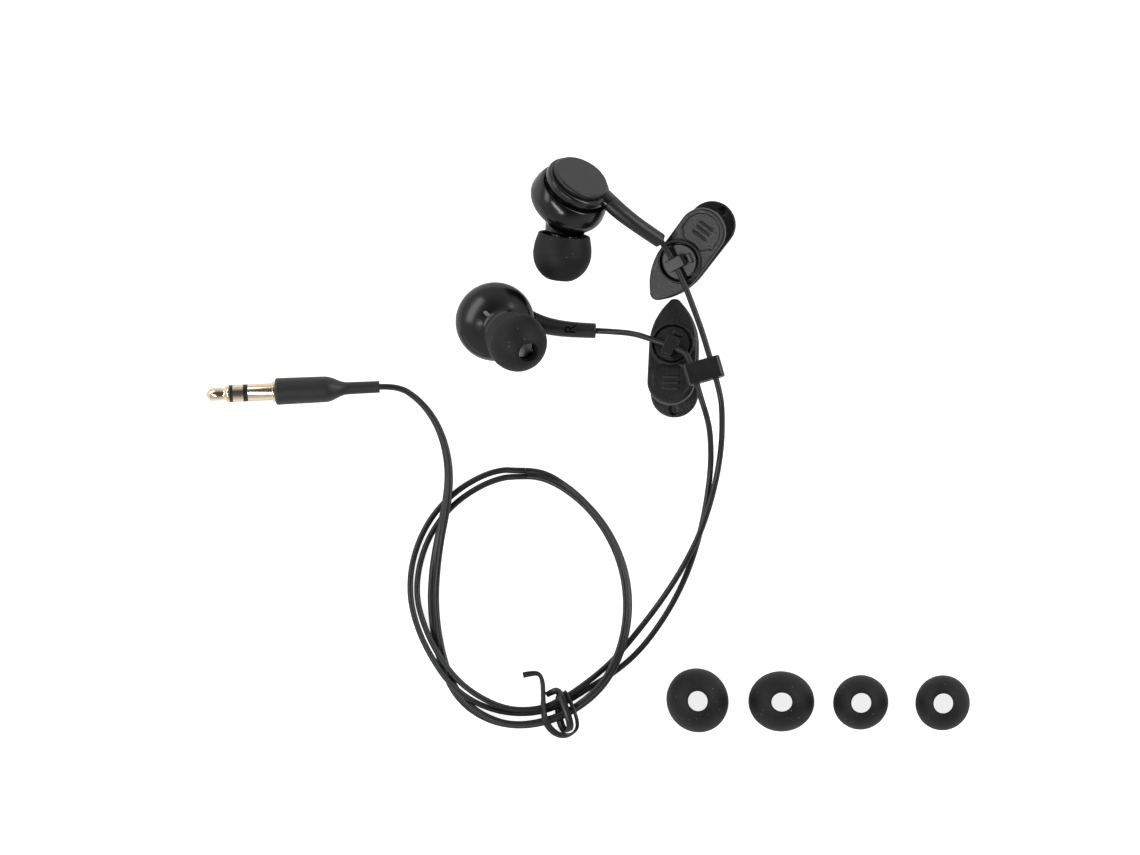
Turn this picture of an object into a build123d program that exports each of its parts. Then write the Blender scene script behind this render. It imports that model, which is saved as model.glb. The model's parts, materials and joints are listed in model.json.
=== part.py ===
"""Wired in-ear earphones with a stereo jack, two garment clips, a cord slider and four spare ear tips.

Millimetres. Everything lies on the plane z = 0. The origin is the middle of the laid-out set, on that plane.
An earphone's own frame has its origin on the rear disc's face and +Z towards the ear, with +X along the arm.
"""
from build123d import *
from math import acos, atan2, cos, degrees, pi, radians, sin, sqrt, tan
import os

os.makedirs("parts", exist_ok=True)

# ------------------------------------------------------------------ driving sizes: earphone
SHELL_RADIUS = 7.9          # widest part of the front shell
SHELL_WIDEST = 6.7          # its height above the rear disc's face
SHELL_REAR_RADIUS = 7.0
SHELL_SIDE_BOW = 0.7        # how far the side has swelled halfway up to the widest part
DOME_HEIGHT = 5.2           # front dome above the widest part
DOME_CORNER = 3.6           # rounding of the dome's sides
SHELL_WALL = 1.0
HOUSING_RADIUS = 6.75       # rear housing
HOUSING_REAR = 1.1
HOUSING_FRONT = 3.0
HOUSING_ROUNDING = 0.6
WAIST = 0.6                 # gap between the rear housing and the front shell, where the spigot shows
CAP_RADIUS = 5.8
CAP_ROUNDING = 0.5
CAP_LEDGE = 0.35            # step from the cap's rim to its plug
CAP_PLUG = 0.5              # how far the cap's plug enters the housing
SPIGOT_WALL = 0.75
DRIVER_SHOULDER = 0.1       # ledge for the driver in the shell, above its widest part
DRIVER_LEDGE = 0.6          # width of that ledge
SEAT_CLEARANCE = 0.05       # between parts that are pushed together
NOZZLE_TILT = 35.0
NOZZLE_TURN = 38.0          # away from the arm, seen from the front
NOZZLE_RADIUS = 2.75
NOZZLE_END = 13.9
NECK_RADIUS = 3.9
NECK_END = 6.8
NECK_FLARE = 3.6             # where the neck starts to spread into the dome
NECK_FLARE_RADIUS = 5.6
NECK_HOLLOW = (4.4, 5.3)    # radius and height of the middle of the flare's hollow
SOUND_BORE = 1.7
MESH_RADIUS = 2.0
MESH_THICKNESS = 0.2
MESH_DEPTH = 0.4            # front of the mesh below the nozzle's end
VENT_LENGTH = 1.7
VENT_WIDTH = 0.9
VENT_OFFSET = 2.15
VENT_DEPTH = 0.35

# ------------------------------------------------------------------ driving sizes: ear tips
TIP_RADIUS = 5.9            # medium tip, on the earphone
TIP_RIM_RADIUS = 5.3
TIP_LENGTH = 9.3
TIP_START = 7.0             # rim, measured along the nozzle from its pivot
TIP_BORE = 2.0
TIP_WALL = 0.6
TIP_SKIRT_BOW = 0.12
TIP_CORE_WALL = 0.7
TIP_CORE_START = 2.5        # core above the rim
TIP_STEP = 1.9              # length of the narrow bore at the far end
LARGE_TIP_RADIUS = 6.35
SMALL_TIP_RADIUS = 5.5
LARGE_TIP_LENGTH = 9.8
SMALL_TIP_LENGTH = 8.7

# ------------------------------------------------------------------ driving sizes: driver
DRIVER_RADIUS = 6.0
DRIVER_DEPTH = 2.2
BASKET_FLOOR = 0.45
BASKET_RIM = 0.5
BASKET_FRONT = 0.55         # from its front to the ledge that carries the film
BASKET_HOLES = 6
YOKE_FLANGE = 0.4
YOKE_PROUD = 0.45           # of the yoke in front of the basket's floor
YOKE_RADIUS = 3.9
YOKE_WALL = 0.5
MAGNET_RADIUS = 2.7
MAGNET_HEIGHT = 1.0
POLE_RADIUS = 2.8
POLE_HEIGHT = 0.6
COIL_INNER = 2.95
COIL_WALL = 0.25
COIL_HEIGHT = 2.1
FILM = 0.1
BOARD_THICKNESS = 0.4

# ------------------------------------------------------------------ driving sizes: arm and boot
ARM_END = 20.4
BOOT_START = 7.7
BOOT_END_RADIUS = 1.52
ARM_HEIGHT = 1.95           # centre of the arm above the rear disc's face
STUB_RADIUS = 1.1
STUB_LENGTH = 3.0
LEAD_BORE = 0.75
KNOT_RADIUS = 0.8

# ------------------------------------------------------------------ driving sizes: cord
STRAND_RADIUS = 0.6
TWIN_RADIUS = 0.85          # round cord with the section of the two joined strands

# ------------------------------------------------------------------ driving sizes: jack plug
PLUG_RADIUS = 1.75
PLUG_TIP_RADIUS = 1.35
PLUG_LENGTH = 14.0          # in front of the overmould, with the flange
PLUG_TIP_SHARES = (0.09, 0.23, 0.46, 0.82)  # along the tip: shoulder, waist, swell and start of the point
PLUG_POINT_RADIUS = 0.35
PLUG_FLANGE_RADIUS = 2.05
PLUG_FLANGE = 0.6
RING_LENGTH = 2.1
SLEEVE_LENGTH = 5.0
FRONT_INSULATOR = 0.7
REAR_INSULATOR = 0.9
PLUG_CORE_RADIUS = 1.0
PLUG_CORE_DEPTH = 2.0       # of the plug's core in the overmould
GRIP_RADIUS = 2.72
GRIP_BEVEL = 0.3
GRIP_DRAFT = 0.1
GRIP_LENGTH = 9.8
GRIP_TAPER = 5.0
RELIEF_RADIUS = 1.25
RELIEF_DRAFT = 0.05
RELIEF_LENGTH = 6.2

# ------------------------------------------------------------------ driving sizes: garment clip
JAW_WIDTH = 9.6
UPPER_LENGTH = 21.9
LOWER_LENGTH = 23.7
UPPER_THICKNESS = 1.4
LOWER_THICKNESS = 1.3
JAW_ANGLE = 14.0
SWIVEL_X = 9.6              # swivel centre from the pointed end
NOSE_RADIUS = 1.5
BOSS_RADIUS = 4.4
BOSS_HEIGHT = 0.7
WELL_RADIUS = 4.0
WELL_FLOOR = 1.0
DISC_RADIUS = 3.5
DISC_THICKNESS = 0.9
SWIVEL_PIN = 1.45
RUNNING_FIT = 0.05
HINGE_X = 13.4
HINGE_HEIGHT = 2.95
PIN_RADIUS = 0.5
EAR_RADIUS = 1.15
EAR_WIDTH = 0.8
UPPER_EAR_Y = 2.8
LOWER_EAR_Y = 1.9
LACE_HOLE_RADIUS = 0.95
LACE_HOLE_DEPTH = 0.8
LACE_HOLE_EDGE = 1.5        # from its centre to the finger end
GRIP_LINES = 3
GRIP_PITCH = 1.2
HOOK_LENGTH = 4.0
HOOK_WIDTH = 2.3
HOOK_HEIGHT = 2.1
HOOK_WALL = 0.65
HOOK_OFFSET = 0.8
HOOK_NUB = (1.95, 0.8)
HOOK_NUB_PLACE = (0.3, 2.3)

# ------------------------------------------------------------------ driving sizes: slider and tie
SLIDER_WIDTH = 7.8
SLIDER_LENGTH = 4.4
SLIDER_THICKNESS = 2.6
SLIDER_PITCH = 4.0
TIE_WIDTH = 1.5
TIE_THICKNESS = 0.5
TIE_BUNDLE = 3.0            # height of the bundle of cords inside the tie


# ------------------------------------------------------------------ heights that follow
shell_rear = HOUSING_FRONT + WAIST
shoulder = SHELL_WIDEST + DRIVER_SHOULDER
driver_front = shoulder - SEAT_CLEARANCE
driver_rear = driver_front - DRIVER_DEPTH
spigot_front = driver_rear - SEAT_CLEARANCE
driver_floor = driver_rear + BASKET_FLOOR
yoke_front = driver_floor + YOKE_PROUD
yoke_rear = yoke_front - YOKE_WALL - MAGNET_HEIGHT - POLE_HEIGHT
cap_plug_front = HOUSING_REAR + CAP_PLUG


# ------------------------------------------------------------------ placing helpers
def at(frame, x=0.0, y=0.0, z=0.0):
    """The global place of a point given in a frame."""
    return frame.from_local_coords(Vector(x, y, z))


def plane_in(frame, origin, x_dir, z_dir):
    """A plane given by its origin and directions in another frame."""
    return Plane(
        origin=at(frame, *origin),
        x_dir=at(frame, *x_dir) - frame.origin,
        z_dir=at(frame, *z_dir) - frame.origin,
    )


def section(frame):
    """The half plane through a frame's axis: sketch x is the radius, sketch y the height."""
    return plane_in(frame, (0, 0, 0), (1, 0, 0), (0, -1, 0))


def axis_of(frame):
    return Axis(frame.origin, frame.z_dir)


def ring(frame, inner, outer, low, high):
    """A turned tube about a frame's axis, or a disc where the inner radius is zero."""
    with BuildPart() as turned:
        with BuildSketch(section(frame)):
            with Locations(((inner + outer) / 2, (low + high) / 2)):
                Rectangle(outer - inner, high - low)
        revolve(axis=axis_of(frame))
    return turned.part


def revolved(frame, *corners):
    """A turned solid from the corners of its half section, as (radius, height) pairs."""
    with BuildPart() as turned:
        with BuildSketch(section(frame)):
            with BuildLine():
                Polyline(*corners, close=True)
            make_face()
        revolve(axis=axis_of(frame))
    return turned.part


def save(part, name):
    part.label = name
    export_step(part, f"parts/{name}.step")


# ------------------------------------------------------------------ where the pieces lie
RIGHT_FRAME = Plane(origin=(-43.9, 24.8, 0), x_dir=(0.9962, -0.0872, 0), z_dir=(0, 0, 1))
LEFT_FRAME = Plane(origin=(-26.4, 53.95, 11.7), x_dir=(0.817, -0.568, 0.097), z_dir=(-0.413, -0.694, -0.59))
LEFT_DROOP = 4.0            # the soft left boot sags onto its cord
EARPHONES = {
    "left": {"frame": LEFT_FRAME, "hand": 1, "droop": LEFT_DROOP},
    "right": {"frame": RIGHT_FRAME, "hand": -1, "droop": 0.0},
}


def nozzle_frame(frame, hand):
    """Frame on the nozzle's axis: its origin is where that axis crosses the housing's."""
    tilt = radians(NOZZLE_TILT)
    turn = radians(NOZZLE_TURN) * hand
    along = (sin(tilt) * cos(turn), sin(tilt) * sin(turn), cos(tilt))
    across = (-sin(turn), cos(turn), 0)
    crossing = Plane(origin=at(frame, z=SHELL_WIDEST), x_dir=frame.x_dir, z_dir=frame.z_dir)
    return plane_in(crossing, (0, 0, 0), across, along)


# ------------------------------------------------------------------ earphone shells
def back_cap(frame):
    with BuildPart() as cap:
        add(ring(frame, 0, CAP_RADIUS, 0, HOUSING_REAR))
        fillet(cap.edges().sort_by(axis_of(frame))[0], radius=CAP_ROUNDING)
        add(ring(frame, 0, CAP_RADIUS - CAP_LEDGE, HOUSING_REAR, cap_plug_front))
    return cap.part


def arm_centres(frame, hand, droop):
    """Centres along the arm's curve, from inside the housing to the boot's end."""
    bow = [(5.6, 1.25), (BOOT_START, 0.75), (10.6, 0.12), (13.4, -0.13), (16.6, -0.15), (ARM_END, 0.0)]
    centres = []
    for x, y in bow:
        share = max(0.0, (x - BOOT_START) / (ARM_END - BOOT_START))
        sag = droop * share**1.4
        centres.append(at(frame, x, -hand * y, ARM_HEIGHT) - Vector(0, 0, sag))
    return centres


def arm_planes(frame, hand, droop):
    """Planes square to the arm, one at each of its centres."""
    centres = arm_centres(frame, hand, droop)
    planes = []
    for i, centre in enumerate(centres):
        before = centres[max(i - 1, 0)]
        after = centres[min(i + 1, len(centres) - 1)]
        tangent = (after - before).normalized()
        side = frame.z_dir.cross(tangent)
        planes.append(Plane(origin=centre, x_dir=side, z_dir=tangent))
    return planes


def rear_housing(frame, hand, droop):
    planes = arm_planes(frame, hand, droop)
    spigot_outer = DRIVER_RADIUS + SEAT_CLEARANCE
    cavity = spigot_outer - SPIGOT_WALL
    cap_seat = CAP_RADIUS - CAP_LEDGE + SEAT_CLEARANCE
    with BuildPart() as housing:
        add(ring(frame, 0, HOUSING_RADIUS, HOUSING_REAR, HOUSING_FRONT))
        fillet(housing.edges(), radius=HOUSING_ROUNDING)
        with BuildSketch(planes[0]):
            Ellipse(2.2, 1.5)
        with BuildSketch(planes[1]):
            Ellipse(1.95, 1.6)
        loft()
        add(ring(frame, 0, spigot_outer, HOUSING_FRONT, spigot_front))
        with BuildSketch(planes[1]):
            Circle(STUB_RADIUS)
        extrude(amount=STUB_LENGTH)
        with BuildSketch(planes[1].offset(STUB_LENGTH)):
            Circle(LEAD_BORE)
        extrude(amount=-(STUB_LENGTH + 4.0), mode=Mode.SUBTRACT)
        add(ring(frame, 0, cavity, HOUSING_REAR, spigot_front), mode=Mode.SUBTRACT)
        add(ring(frame, 0, cap_seat, HOUSING_REAR, cap_plug_front + SEAT_CLEARANCE), mode=Mode.SUBTRACT)
        add(ring(frame, 0, CAP_RADIUS + SEAT_CLEARANCE, 0, HOUSING_REAR), mode=Mode.SUBTRACT)
    return housing.part


def strain_relief(frame, hand, droop):
    """Soft boot moulded over the cord, curved and tapering to the end where the cord comes out."""
    planes = arm_planes(frame, hand, droop)[1:]
    widths = [1.95, 1.75, 1.64, 1.57, BOOT_END_RADIUS]
    heights = [1.6, 1.68, 1.62, 1.56, BOOT_END_RADIUS]
    with BuildPart() as boot:
        for plane, width, height in zip(planes, widths, heights):
            with BuildSketch(plane):
                Ellipse(width, height)
        loft()
        fillet(boot.edges().sort_by(Axis(planes[-1].origin, planes[-1].z_dir))[-1], radius=0.3)
        with BuildSketch(planes[0]):
            Circle(STUB_RADIUS + SEAT_CLEARANCE)
        extrude(amount=STUB_LENGTH + SEAT_CLEARANCE, mode=Mode.SUBTRACT)
    return boot.part


def dome_arcs(radius, height, corner):
    """Crown radius of a dome with rounded sides, and the angle at which its two arcs meet."""
    crown = ((radius - corner) ** 2 + height**2 - corner**2) / (2 * (height - corner))
    return crown, degrees(atan2(crown - height, radius - corner))


def front_shell(frame, hand):
    nozzle = nozzle_frame(frame, hand)
    vent_turn = radians(NOZZLE_TURN) * hand + pi
    vent_place = (VENT_OFFSET * cos(vent_turn), VENT_OFFSET * sin(vent_turn), SHELL_WIDEST)
    vent_along = (cos(vent_turn), sin(vent_turn), 0)
    seat = DRIVER_RADIUS + 2 * SEAT_CLEARANCE
    cavity = DRIVER_RADIUS - DRIVER_LEDGE
    side_middle = (SHELL_REAR_RADIUS + SHELL_SIDE_BOW, (shell_rear + SHELL_WIDEST) / 2)
    crown, turn = dome_arcs(SHELL_RADIUS, DOME_HEIGHT, DOME_CORNER)
    inner_crown = crown - SHELL_WALL
    inner_top = SHELL_WIDEST + DOME_HEIGHT - SHELL_WALL
    corner_height = inner_top - inner_crown + sqrt(inner_crown**2 - cavity**2)
    mid_angle = acos(cavity / inner_crown) / 2 + pi / 4
    inner_mid = (inner_crown * cos(mid_angle), inner_top - inner_crown * (1 - sin(mid_angle)))
    with BuildPart() as shell:
        with BuildSketch(section(frame)):
            with BuildLine():
                Polyline((0, SHELL_WIDEST + DOME_HEIGHT), (0, shell_rear), (SHELL_REAR_RADIUS, shell_rear))
                ThreePointArc((SHELL_REAR_RADIUS, shell_rear), side_middle, (SHELL_RADIUS, SHELL_WIDEST))
                side_arc = JernArc((SHELL_RADIUS, SHELL_WIDEST), (0, 1), DOME_CORNER, arc_size=turn)
                JernArc(side_arc @ 1, side_arc % 1, crown, arc_size=90 - turn)
            make_face()
        revolve(axis=axis_of(frame))
        with BuildSketch(section(nozzle)):
            with BuildLine():
                Polyline((0, NECK_END), (0, NECK_FLARE), (NECK_FLARE_RADIUS, NECK_FLARE))
                ThreePointArc((NECK_FLARE_RADIUS, NECK_FLARE), NECK_HOLLOW, (NECK_RADIUS, NECK_END))
                Line((NECK_RADIUS, NECK_END), (0, NECK_END))
            make_face()
        revolve(axis=axis_of(nozzle))
        add(ring(nozzle, 0, NOZZLE_RADIUS, NECK_END, NOZZLE_END))
        with BuildSketch(section(frame)):
            with BuildLine():
                Polyline((0, shell_rear), (seat, shell_rear), (seat, shoulder), (cavity, shoulder))
                Line((cavity, shoulder), (cavity, corner_height))
                ThreePointArc((cavity, corner_height), inner_mid, (0, inner_top))
                Line((0, inner_top), (0, shell_rear))
            make_face()
        revolve(axis=axis_of(frame), mode=Mode.SUBTRACT)
        add(ring(nozzle, 0, SOUND_BORE, 1.5, NOZZLE_END), mode=Mode.SUBTRACT)
        mesh_floor = NOZZLE_END - MESH_DEPTH - MESH_THICKNESS
        add(ring(nozzle, 0, MESH_RADIUS + SEAT_CLEARANCE, mesh_floor, NOZZLE_END), mode=Mode.SUBTRACT)
        with BuildSketch(plane_in(frame, vent_place, vent_along, (0, 0, 1))):
            SlotOverall(VENT_LENGTH, VENT_WIDTH)
        extrude(amount=DOME_HEIGHT + 1, mode=Mode.SUBTRACT)
    return shell.part


def nozzle_mesh(frame, hand):
    front = NOZZLE_END - MESH_DEPTH
    return ring(nozzle_frame(frame, hand), 0, MESH_RADIUS, front - MESH_THICKNESS, front)


def vent_mesh(frame, hand):
    vent_turn = radians(NOZZLE_TURN) * hand + pi
    crown = dome_arcs(SHELL_RADIUS, DOME_HEIGHT, DOME_CORNER)[0]
    surface = SHELL_WIDEST + DOME_HEIGHT - crown + sqrt(crown**2 - VENT_OFFSET**2)
    place = (VENT_OFFSET * cos(vent_turn), VENT_OFFSET * sin(vent_turn), surface - VENT_DEPTH)
    with BuildPart() as mesh:
        with BuildSketch(plane_in(frame, place, (cos(vent_turn), sin(vent_turn), 0), (0, 0, 1))):
            SlotOverall(VENT_LENGTH - 2 * SEAT_CLEARANCE, VENT_WIDTH - 2 * SEAT_CLEARANCE)
        extrude(amount=-MESH_THICKNESS)
    return mesh.part


# ------------------------------------------------------------------ ear tips
def ear_tip(rim_frame, radius, rim_radius, length):
    """Silicone tip: a mushroom-shaped skirt about a tube that grips the nozzle. Height 0 is the rim."""
    top = sqrt(radius**2 - (TIP_BORE + 0.5) ** 2)
    widest = length - top
    inner = radius - TIP_WALL
    core_inner = NOZZLE_RADIUS + RUNNING_FIT
    core_outer = core_inner + TIP_CORE_WALL
    core_top = sqrt(inner**2 - core_outer**2)
    half_angle = atan2(top, TIP_BORE + 0.5) / 2
    inner_half = atan2(core_top, core_outer) / 2
    rim_inner = rim_radius - TIP_WALL
    outer_middle = (rim_radius + radius) / 2 + TIP_SKIRT_BOW
    inner_middle = (rim_inner + inner) / 2 + TIP_SKIRT_BOW
    with BuildPart() as tip:
        with BuildSketch(section(rim_frame)):
            with BuildLine():
                ThreePointArc((rim_radius, 0), (outer_middle, widest / 2), (radius, widest))
                ThreePointArc(
                    (radius, widest),
                    (radius * cos(half_angle), widest + radius * sin(half_angle)),
                    (TIP_BORE + 0.5, length),
                )
                Polyline(
                    (TIP_BORE + 0.5, length),
                    (TIP_BORE + 0.15, length),
                    (TIP_BORE, length - 0.15),
                    (TIP_BORE, length - TIP_STEP),
                    (core_inner, length - TIP_STEP),
                    (core_inner, TIP_CORE_START),
                    (core_outer, TIP_CORE_START),
                    (core_outer, widest + core_top),
                )
                ThreePointArc(
                    (core_outer, widest + core_top),
                    (inner * cos(inner_half), widest + inner * sin(inner_half)),
                    (inner, widest),
                )
                ThreePointArc((inner, widest), (inner_middle, widest / 2), (rim_inner, 0))
                Line((rim_inner, 0), (rim_radius, 0))
            make_face()
        revolve(axis=axis_of(rim_frame))
    return tip.part


# ------------------------------------------------------------------ driver and leads
def driver_pieces(frame):
    """Dynamic driver, rear to front: yoke cup, magnet, pole plate, voice coil, film, all in a frame ring."""
    front = driver_front
    rear = driver_rear
    floor = driver_floor
    ledge = front - BASKET_FRONT
    rim = DRIVER_RADIUS - BASKET_RIM
    film_seat = rim - 0.35
    magnet_rear = yoke_rear + YOKE_WALL
    hole = YOKE_RADIUS + SEAT_CLEARANCE
    coil_outer = COIL_INNER + COIL_WALL
    with BuildPart() as basket:
        add(revolved(frame, (hole, rear), (DRIVER_RADIUS, rear), (DRIVER_RADIUS, front), (rim, front),
                     (rim, ledge), (film_seat, ledge), (film_seat, floor), (hole, floor)))
        with BuildSketch(Plane(origin=at(frame, z=rear), x_dir=frame.x_dir, z_dir=frame.z_dir)):
            with PolarLocations((hole + rim) / 2, BASKET_HOLES):
                Circle(0.3 * (rim - hole))
        extrude(amount=floor - rear, mode=Mode.SUBTRACT)
    flange = YOKE_RADIUS + YOKE_FLANGE
    flange_rear = rear - 0.35
    cup_inner = YOKE_RADIUS - YOKE_WALL
    with BuildPart() as cup:
        add(revolved(frame, (0, yoke_rear), (YOKE_RADIUS, yoke_rear), (YOKE_RADIUS, flange_rear),
                     (flange, flange_rear), (flange, rear), (YOKE_RADIUS, rear), (YOKE_RADIUS, yoke_front),
                     (cup_inner, yoke_front), (cup_inner, magnet_rear), (0, magnet_rear)))
    magnet = ring(frame, 0, MAGNET_RADIUS, magnet_rear, magnet_rear + MAGNET_HEIGHT)
    pole = ring(frame, 0, POLE_RADIUS, magnet_rear + MAGNET_HEIGHT, yoke_front)
    coil = ring(frame, COIL_INNER, coil_outer, ledge - COIL_HEIGHT, ledge)
    with BuildPart() as film:
        with BuildSketch(section(frame)):
            with BuildLine():
                Polyline(
                    (rim - SEAT_CLEARANCE, ledge), (coil_outer, ledge), (COIL_INNER, ledge), (0, ledge + 0.4),
                    (0, ledge + 0.4 + FILM), (COIL_INNER, ledge + FILM), (coil_outer, ledge + FILM),
                    ((rim + coil_outer) / 2, ledge + 0.3 + FILM), (rim - SEAT_CLEARANCE, ledge + FILM),
                    close=True,
                )
            make_face()
        revolve(axis=axis_of(frame))
    with BuildPart() as board:
        with BuildSketch(plane_in(frame, (-(flange + 0.5), 0, rear), (0, 1, 0), (0, 0, 1))):
            Rectangle(2.6, 0.8)
        extrude(amount=-BOARD_THICKNESS)
    return {
        "driver_frame": basket.part,
        "driver_yoke": cup.part,
        "driver_magnet": magnet,
        "driver_pole_plate": pole,
        "voice_coil": coil,
        "diaphragm": film.part,
        "terminal_board": board.part,
    }


def cord_knot(frame, hand):
    """The knot that keeps the cord from pulling out of the arm, inside the rear housing."""
    with BuildPart() as knot:
        with Locations(at(frame, 4.0, -hand * 1.3, (cap_plug_front + yoke_rear) / 2)):
            Sphere(KNOT_RADIUS)
    return knot.part


for side, placed in EARPHONES.items():
    frame = placed["frame"]
    hand = placed["hand"]
    droop = placed["droop"]
    tip_frame = nozzle_frame(frame, hand).offset(TIP_START)
    save(back_cap(frame), f"{side}_back_cap")
    save(rear_housing(frame, hand, droop), f"{side}_rear_housing")
    save(strain_relief(frame, hand, droop), f"{side}_strain_relief")
    save(front_shell(frame, hand), f"{side}_front_shell")
    save(nozzle_mesh(frame, hand), f"{side}_nozzle_mesh")
    save(vent_mesh(frame, hand), f"{side}_vent_mesh")
    save(ear_tip(tip_frame, TIP_RADIUS, TIP_RIM_RADIUS, TIP_LENGTH), f"{side}_ear_tip")
    save(cord_knot(frame, hand), f"{side}_cord_knot")
    for name, solid in driver_pieces(frame).items():
        save(solid, f"{side}_{name}")


# ------------------------------------------------------------------ garment clips
def resting_clip(x, y, heading, roll):
    """Frame of a clip lying on one long edge of its lower jaw: +X runs to the finger end, +Y across."""
    along = (cos(radians(heading)), sin(radians(heading)), 0)
    flat = Plane(origin=(x, y, JAW_WIDTH / 2 * sin(radians(abs(roll)))), x_dir=along, z_dir=(0, 0, 1))
    return plane_in(flat, (0, 0, 0), (1, 0, 0), (0, -sin(radians(roll)), cos(radians(roll))))


CLIPS = {
    "left": {"frame": resting_clip(-11.7, 29.5, 52, -7), "cord_turn": -116.0},
    "right": {"frame": resting_clip(-7.3, 29.2, -91, 8), "cord_turn": 70.0},
}


def upper_frame(clip):
    """The upper jaw's frame: it shares the pointed end and rises towards the finger end."""
    rise = radians(JAW_ANGLE)
    along = (cos(rise), 0, sin(rise))
    return plane_in(clip, (0, 0, LOWER_THICKNESS + RUNNING_FIT), along, (-sin(rise), 0, cos(rise)))


def jaw_plate(frame, length, thickness):
    """A jaw's plate: a gothic point at one end, a half round at the other."""
    half = JAW_WIDTH / 2
    shoulder = SWIVEL_X - 0.3
    nose_high = (NOSE_RADIUS * (1 - cos(radians(60))), NOSE_RADIUS * sin(radians(60)))
    nose_low = (nose_high[0], -nose_high[1])
    with BuildPart() as plate:
        with BuildSketch(frame):
            with BuildLine():
                ThreePointArc(nose_low, (0, 0), nose_high)
                ThreePointArc(nose_high, (0.5 * shoulder, 0.8 * half), (shoulder, half))
                Line((shoulder, half), (length - half, half))
                ThreePointArc((length - half, half), (length, 0), (length - half, -half))
                Line((length - half, -half), (shoulder, -half))
                ThreePointArc((shoulder, -half), (0.5 * shoulder, -0.8 * half), nose_low)
            make_face()
        extrude(amount=thickness)
    return plate.part


def hinge_ears(clip, ear_y, reach):
    """A pair of hinge ears about the pin, reaching down (reach < 0) or up to their jaw's plate."""
    with BuildPart() as ears:
        for y in (ear_y, -ear_y):
            middle = plane_in(clip, (HINGE_X, y, HINGE_HEIGHT), (1, 0, 0), (0, -1, 0))
            with BuildSketch(middle):
                Circle(EAR_RADIUS)
                with Locations((0, reach / 2)):
                    Rectangle(2 * EAR_RADIUS, abs(reach))
                Circle(PIN_RADIUS + RUNNING_FIT, mode=Mode.SUBTRACT)
            extrude(amount=EAR_WIDTH / 2, both=True)
    return ears.part


def clip_upper_jaw(clip):
    frame = upper_frame(clip)
    swivel = plane_in(frame, (SWIVEL_X, 0, 0), (1, 0, 0), (0, 0, 1))
    pad_start = SWIVEL_X + BOSS_RADIUS + 1.2
    pad_end = UPPER_LENGTH - 1.0
    half_pad = JAW_WIDTH / 2 - 1.0
    with BuildPart() as jaw:
        add(jaw_plate(frame, UPPER_LENGTH, UPPER_THICKNESS))
        fillet(jaw.faces().sort_by(axis_of(frame))[-1].edges(), radius=0.35)
        add(ring(swivel, 0, BOSS_RADIUS, 0, UPPER_THICKNESS + BOSS_HEIGHT))
        fillet(jaw.edges().sort_by(axis_of(frame))[-1], radius=0.2)
        add(ring(swivel, 0, WELL_RADIUS, WELL_FLOOR, UPPER_THICKNESS + BOSS_HEIGHT), mode=Mode.SUBTRACT)
        add(ring(swivel, 0, SWIVEL_PIN + RUNNING_FIT, 0, WELL_FLOOR), mode=Mode.SUBTRACT)
        with BuildSketch(frame.offset(UPPER_THICKNESS)):
            with Locations(((pad_start + pad_end - half_pad) / 2, 0)):
                Rectangle(pad_end - half_pad - pad_start, 2 * half_pad)
            with Locations((pad_end - half_pad, 0)):
                Circle(half_pad)
        extrude(amount=-0.25, mode=Mode.SUBTRACT)
        with BuildSketch(frame.offset(UPPER_THICKNESS - 0.3)):
            with Locations(*[(pad_start + 1.0 + i * GRIP_PITCH, 0) for i in range(GRIP_LINES)]):
                Rectangle(0.3, 3.2)
        extrude(amount=0.3)
        add(hinge_ears(clip, UPPER_EAR_Y, 1.9))
    return jaw.part


def clip_lower_jaw(clip):
    with BuildPart() as jaw:
        add(jaw_plate(clip, LOWER_LENGTH, LOWER_THICKNESS))
        fillet(jaw.faces().sort_by(axis_of(clip))[-1].edges(), radius=0.3)
        with BuildSketch(clip.offset(LOWER_THICKNESS)):
            with Locations((LOWER_LENGTH - LACE_HOLE_EDGE, 0)):
                Circle(LACE_HOLE_RADIUS)
        extrude(amount=-LACE_HOLE_DEPTH, mode=Mode.SUBTRACT)
        add(hinge_ears(clip, LOWER_EAR_Y, LOWER_THICKNESS - 0.3 - HINGE_HEIGHT))
    return jaw.part


def clip_hinge_pin(clip):
    with BuildPart() as pin:
        with BuildSketch(plane_in(clip, (HINGE_X, 0, HINGE_HEIGHT), (1, 0, 0), (0, -1, 0))):
            Circle(PIN_RADIUS)
        extrude(amount=UPPER_EAR_Y + EAR_WIDTH / 2 + 0.2, both=True)
    return pin.part


def clip_spring(clip):
    """Torsion spring: its close-wound coil about the pin, and one leg to each jaw."""
    coil_inner = PIN_RADIUS + RUNNING_FIT
    coil_outer = 1.0
    wire = 0.35
    leg = 2.0
    half_coil = LOWER_EAR_Y - EAR_WIDTH / 2 - 0.1
    middle = plane_in(clip, (HINGE_X, 0, HINGE_HEIGHT), (1, 0, 0), (0, -1, 0))
    with BuildPart() as spring:
        with BuildSketch(middle):
            Circle(coil_outer)
            Circle(coil_inner, mode=Mode.SUBTRACT)
        extrude(amount=half_coil, both=True)
        for side, height in ((half_coil - wire, coil_outer - wire), (wire - half_coil, -coil_outer + wire)):
            with BuildSketch(plane_in(clip, (HINGE_X, side, HINGE_HEIGHT), (1, 0, 0), (0, -1, 0))):
                with Locations((leg / 2, height)):
                    Rectangle(leg, wire)
            extrude(amount=wire / 2, both=True)
    return spring.part


def hook_frame(clip, cord_turn):
    """The swivelling hook's frame: +X is the way the cord runs through it."""
    swivel = plane_in(upper_frame(clip), (SWIVEL_X, 0, 0), (1, 0, 0), (0, 0, 1))
    turn = radians(cord_turn)
    return plane_in(swivel, (0, 0, 0), (cos(turn), sin(turn), 0), (0, 0, 1))


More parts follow.
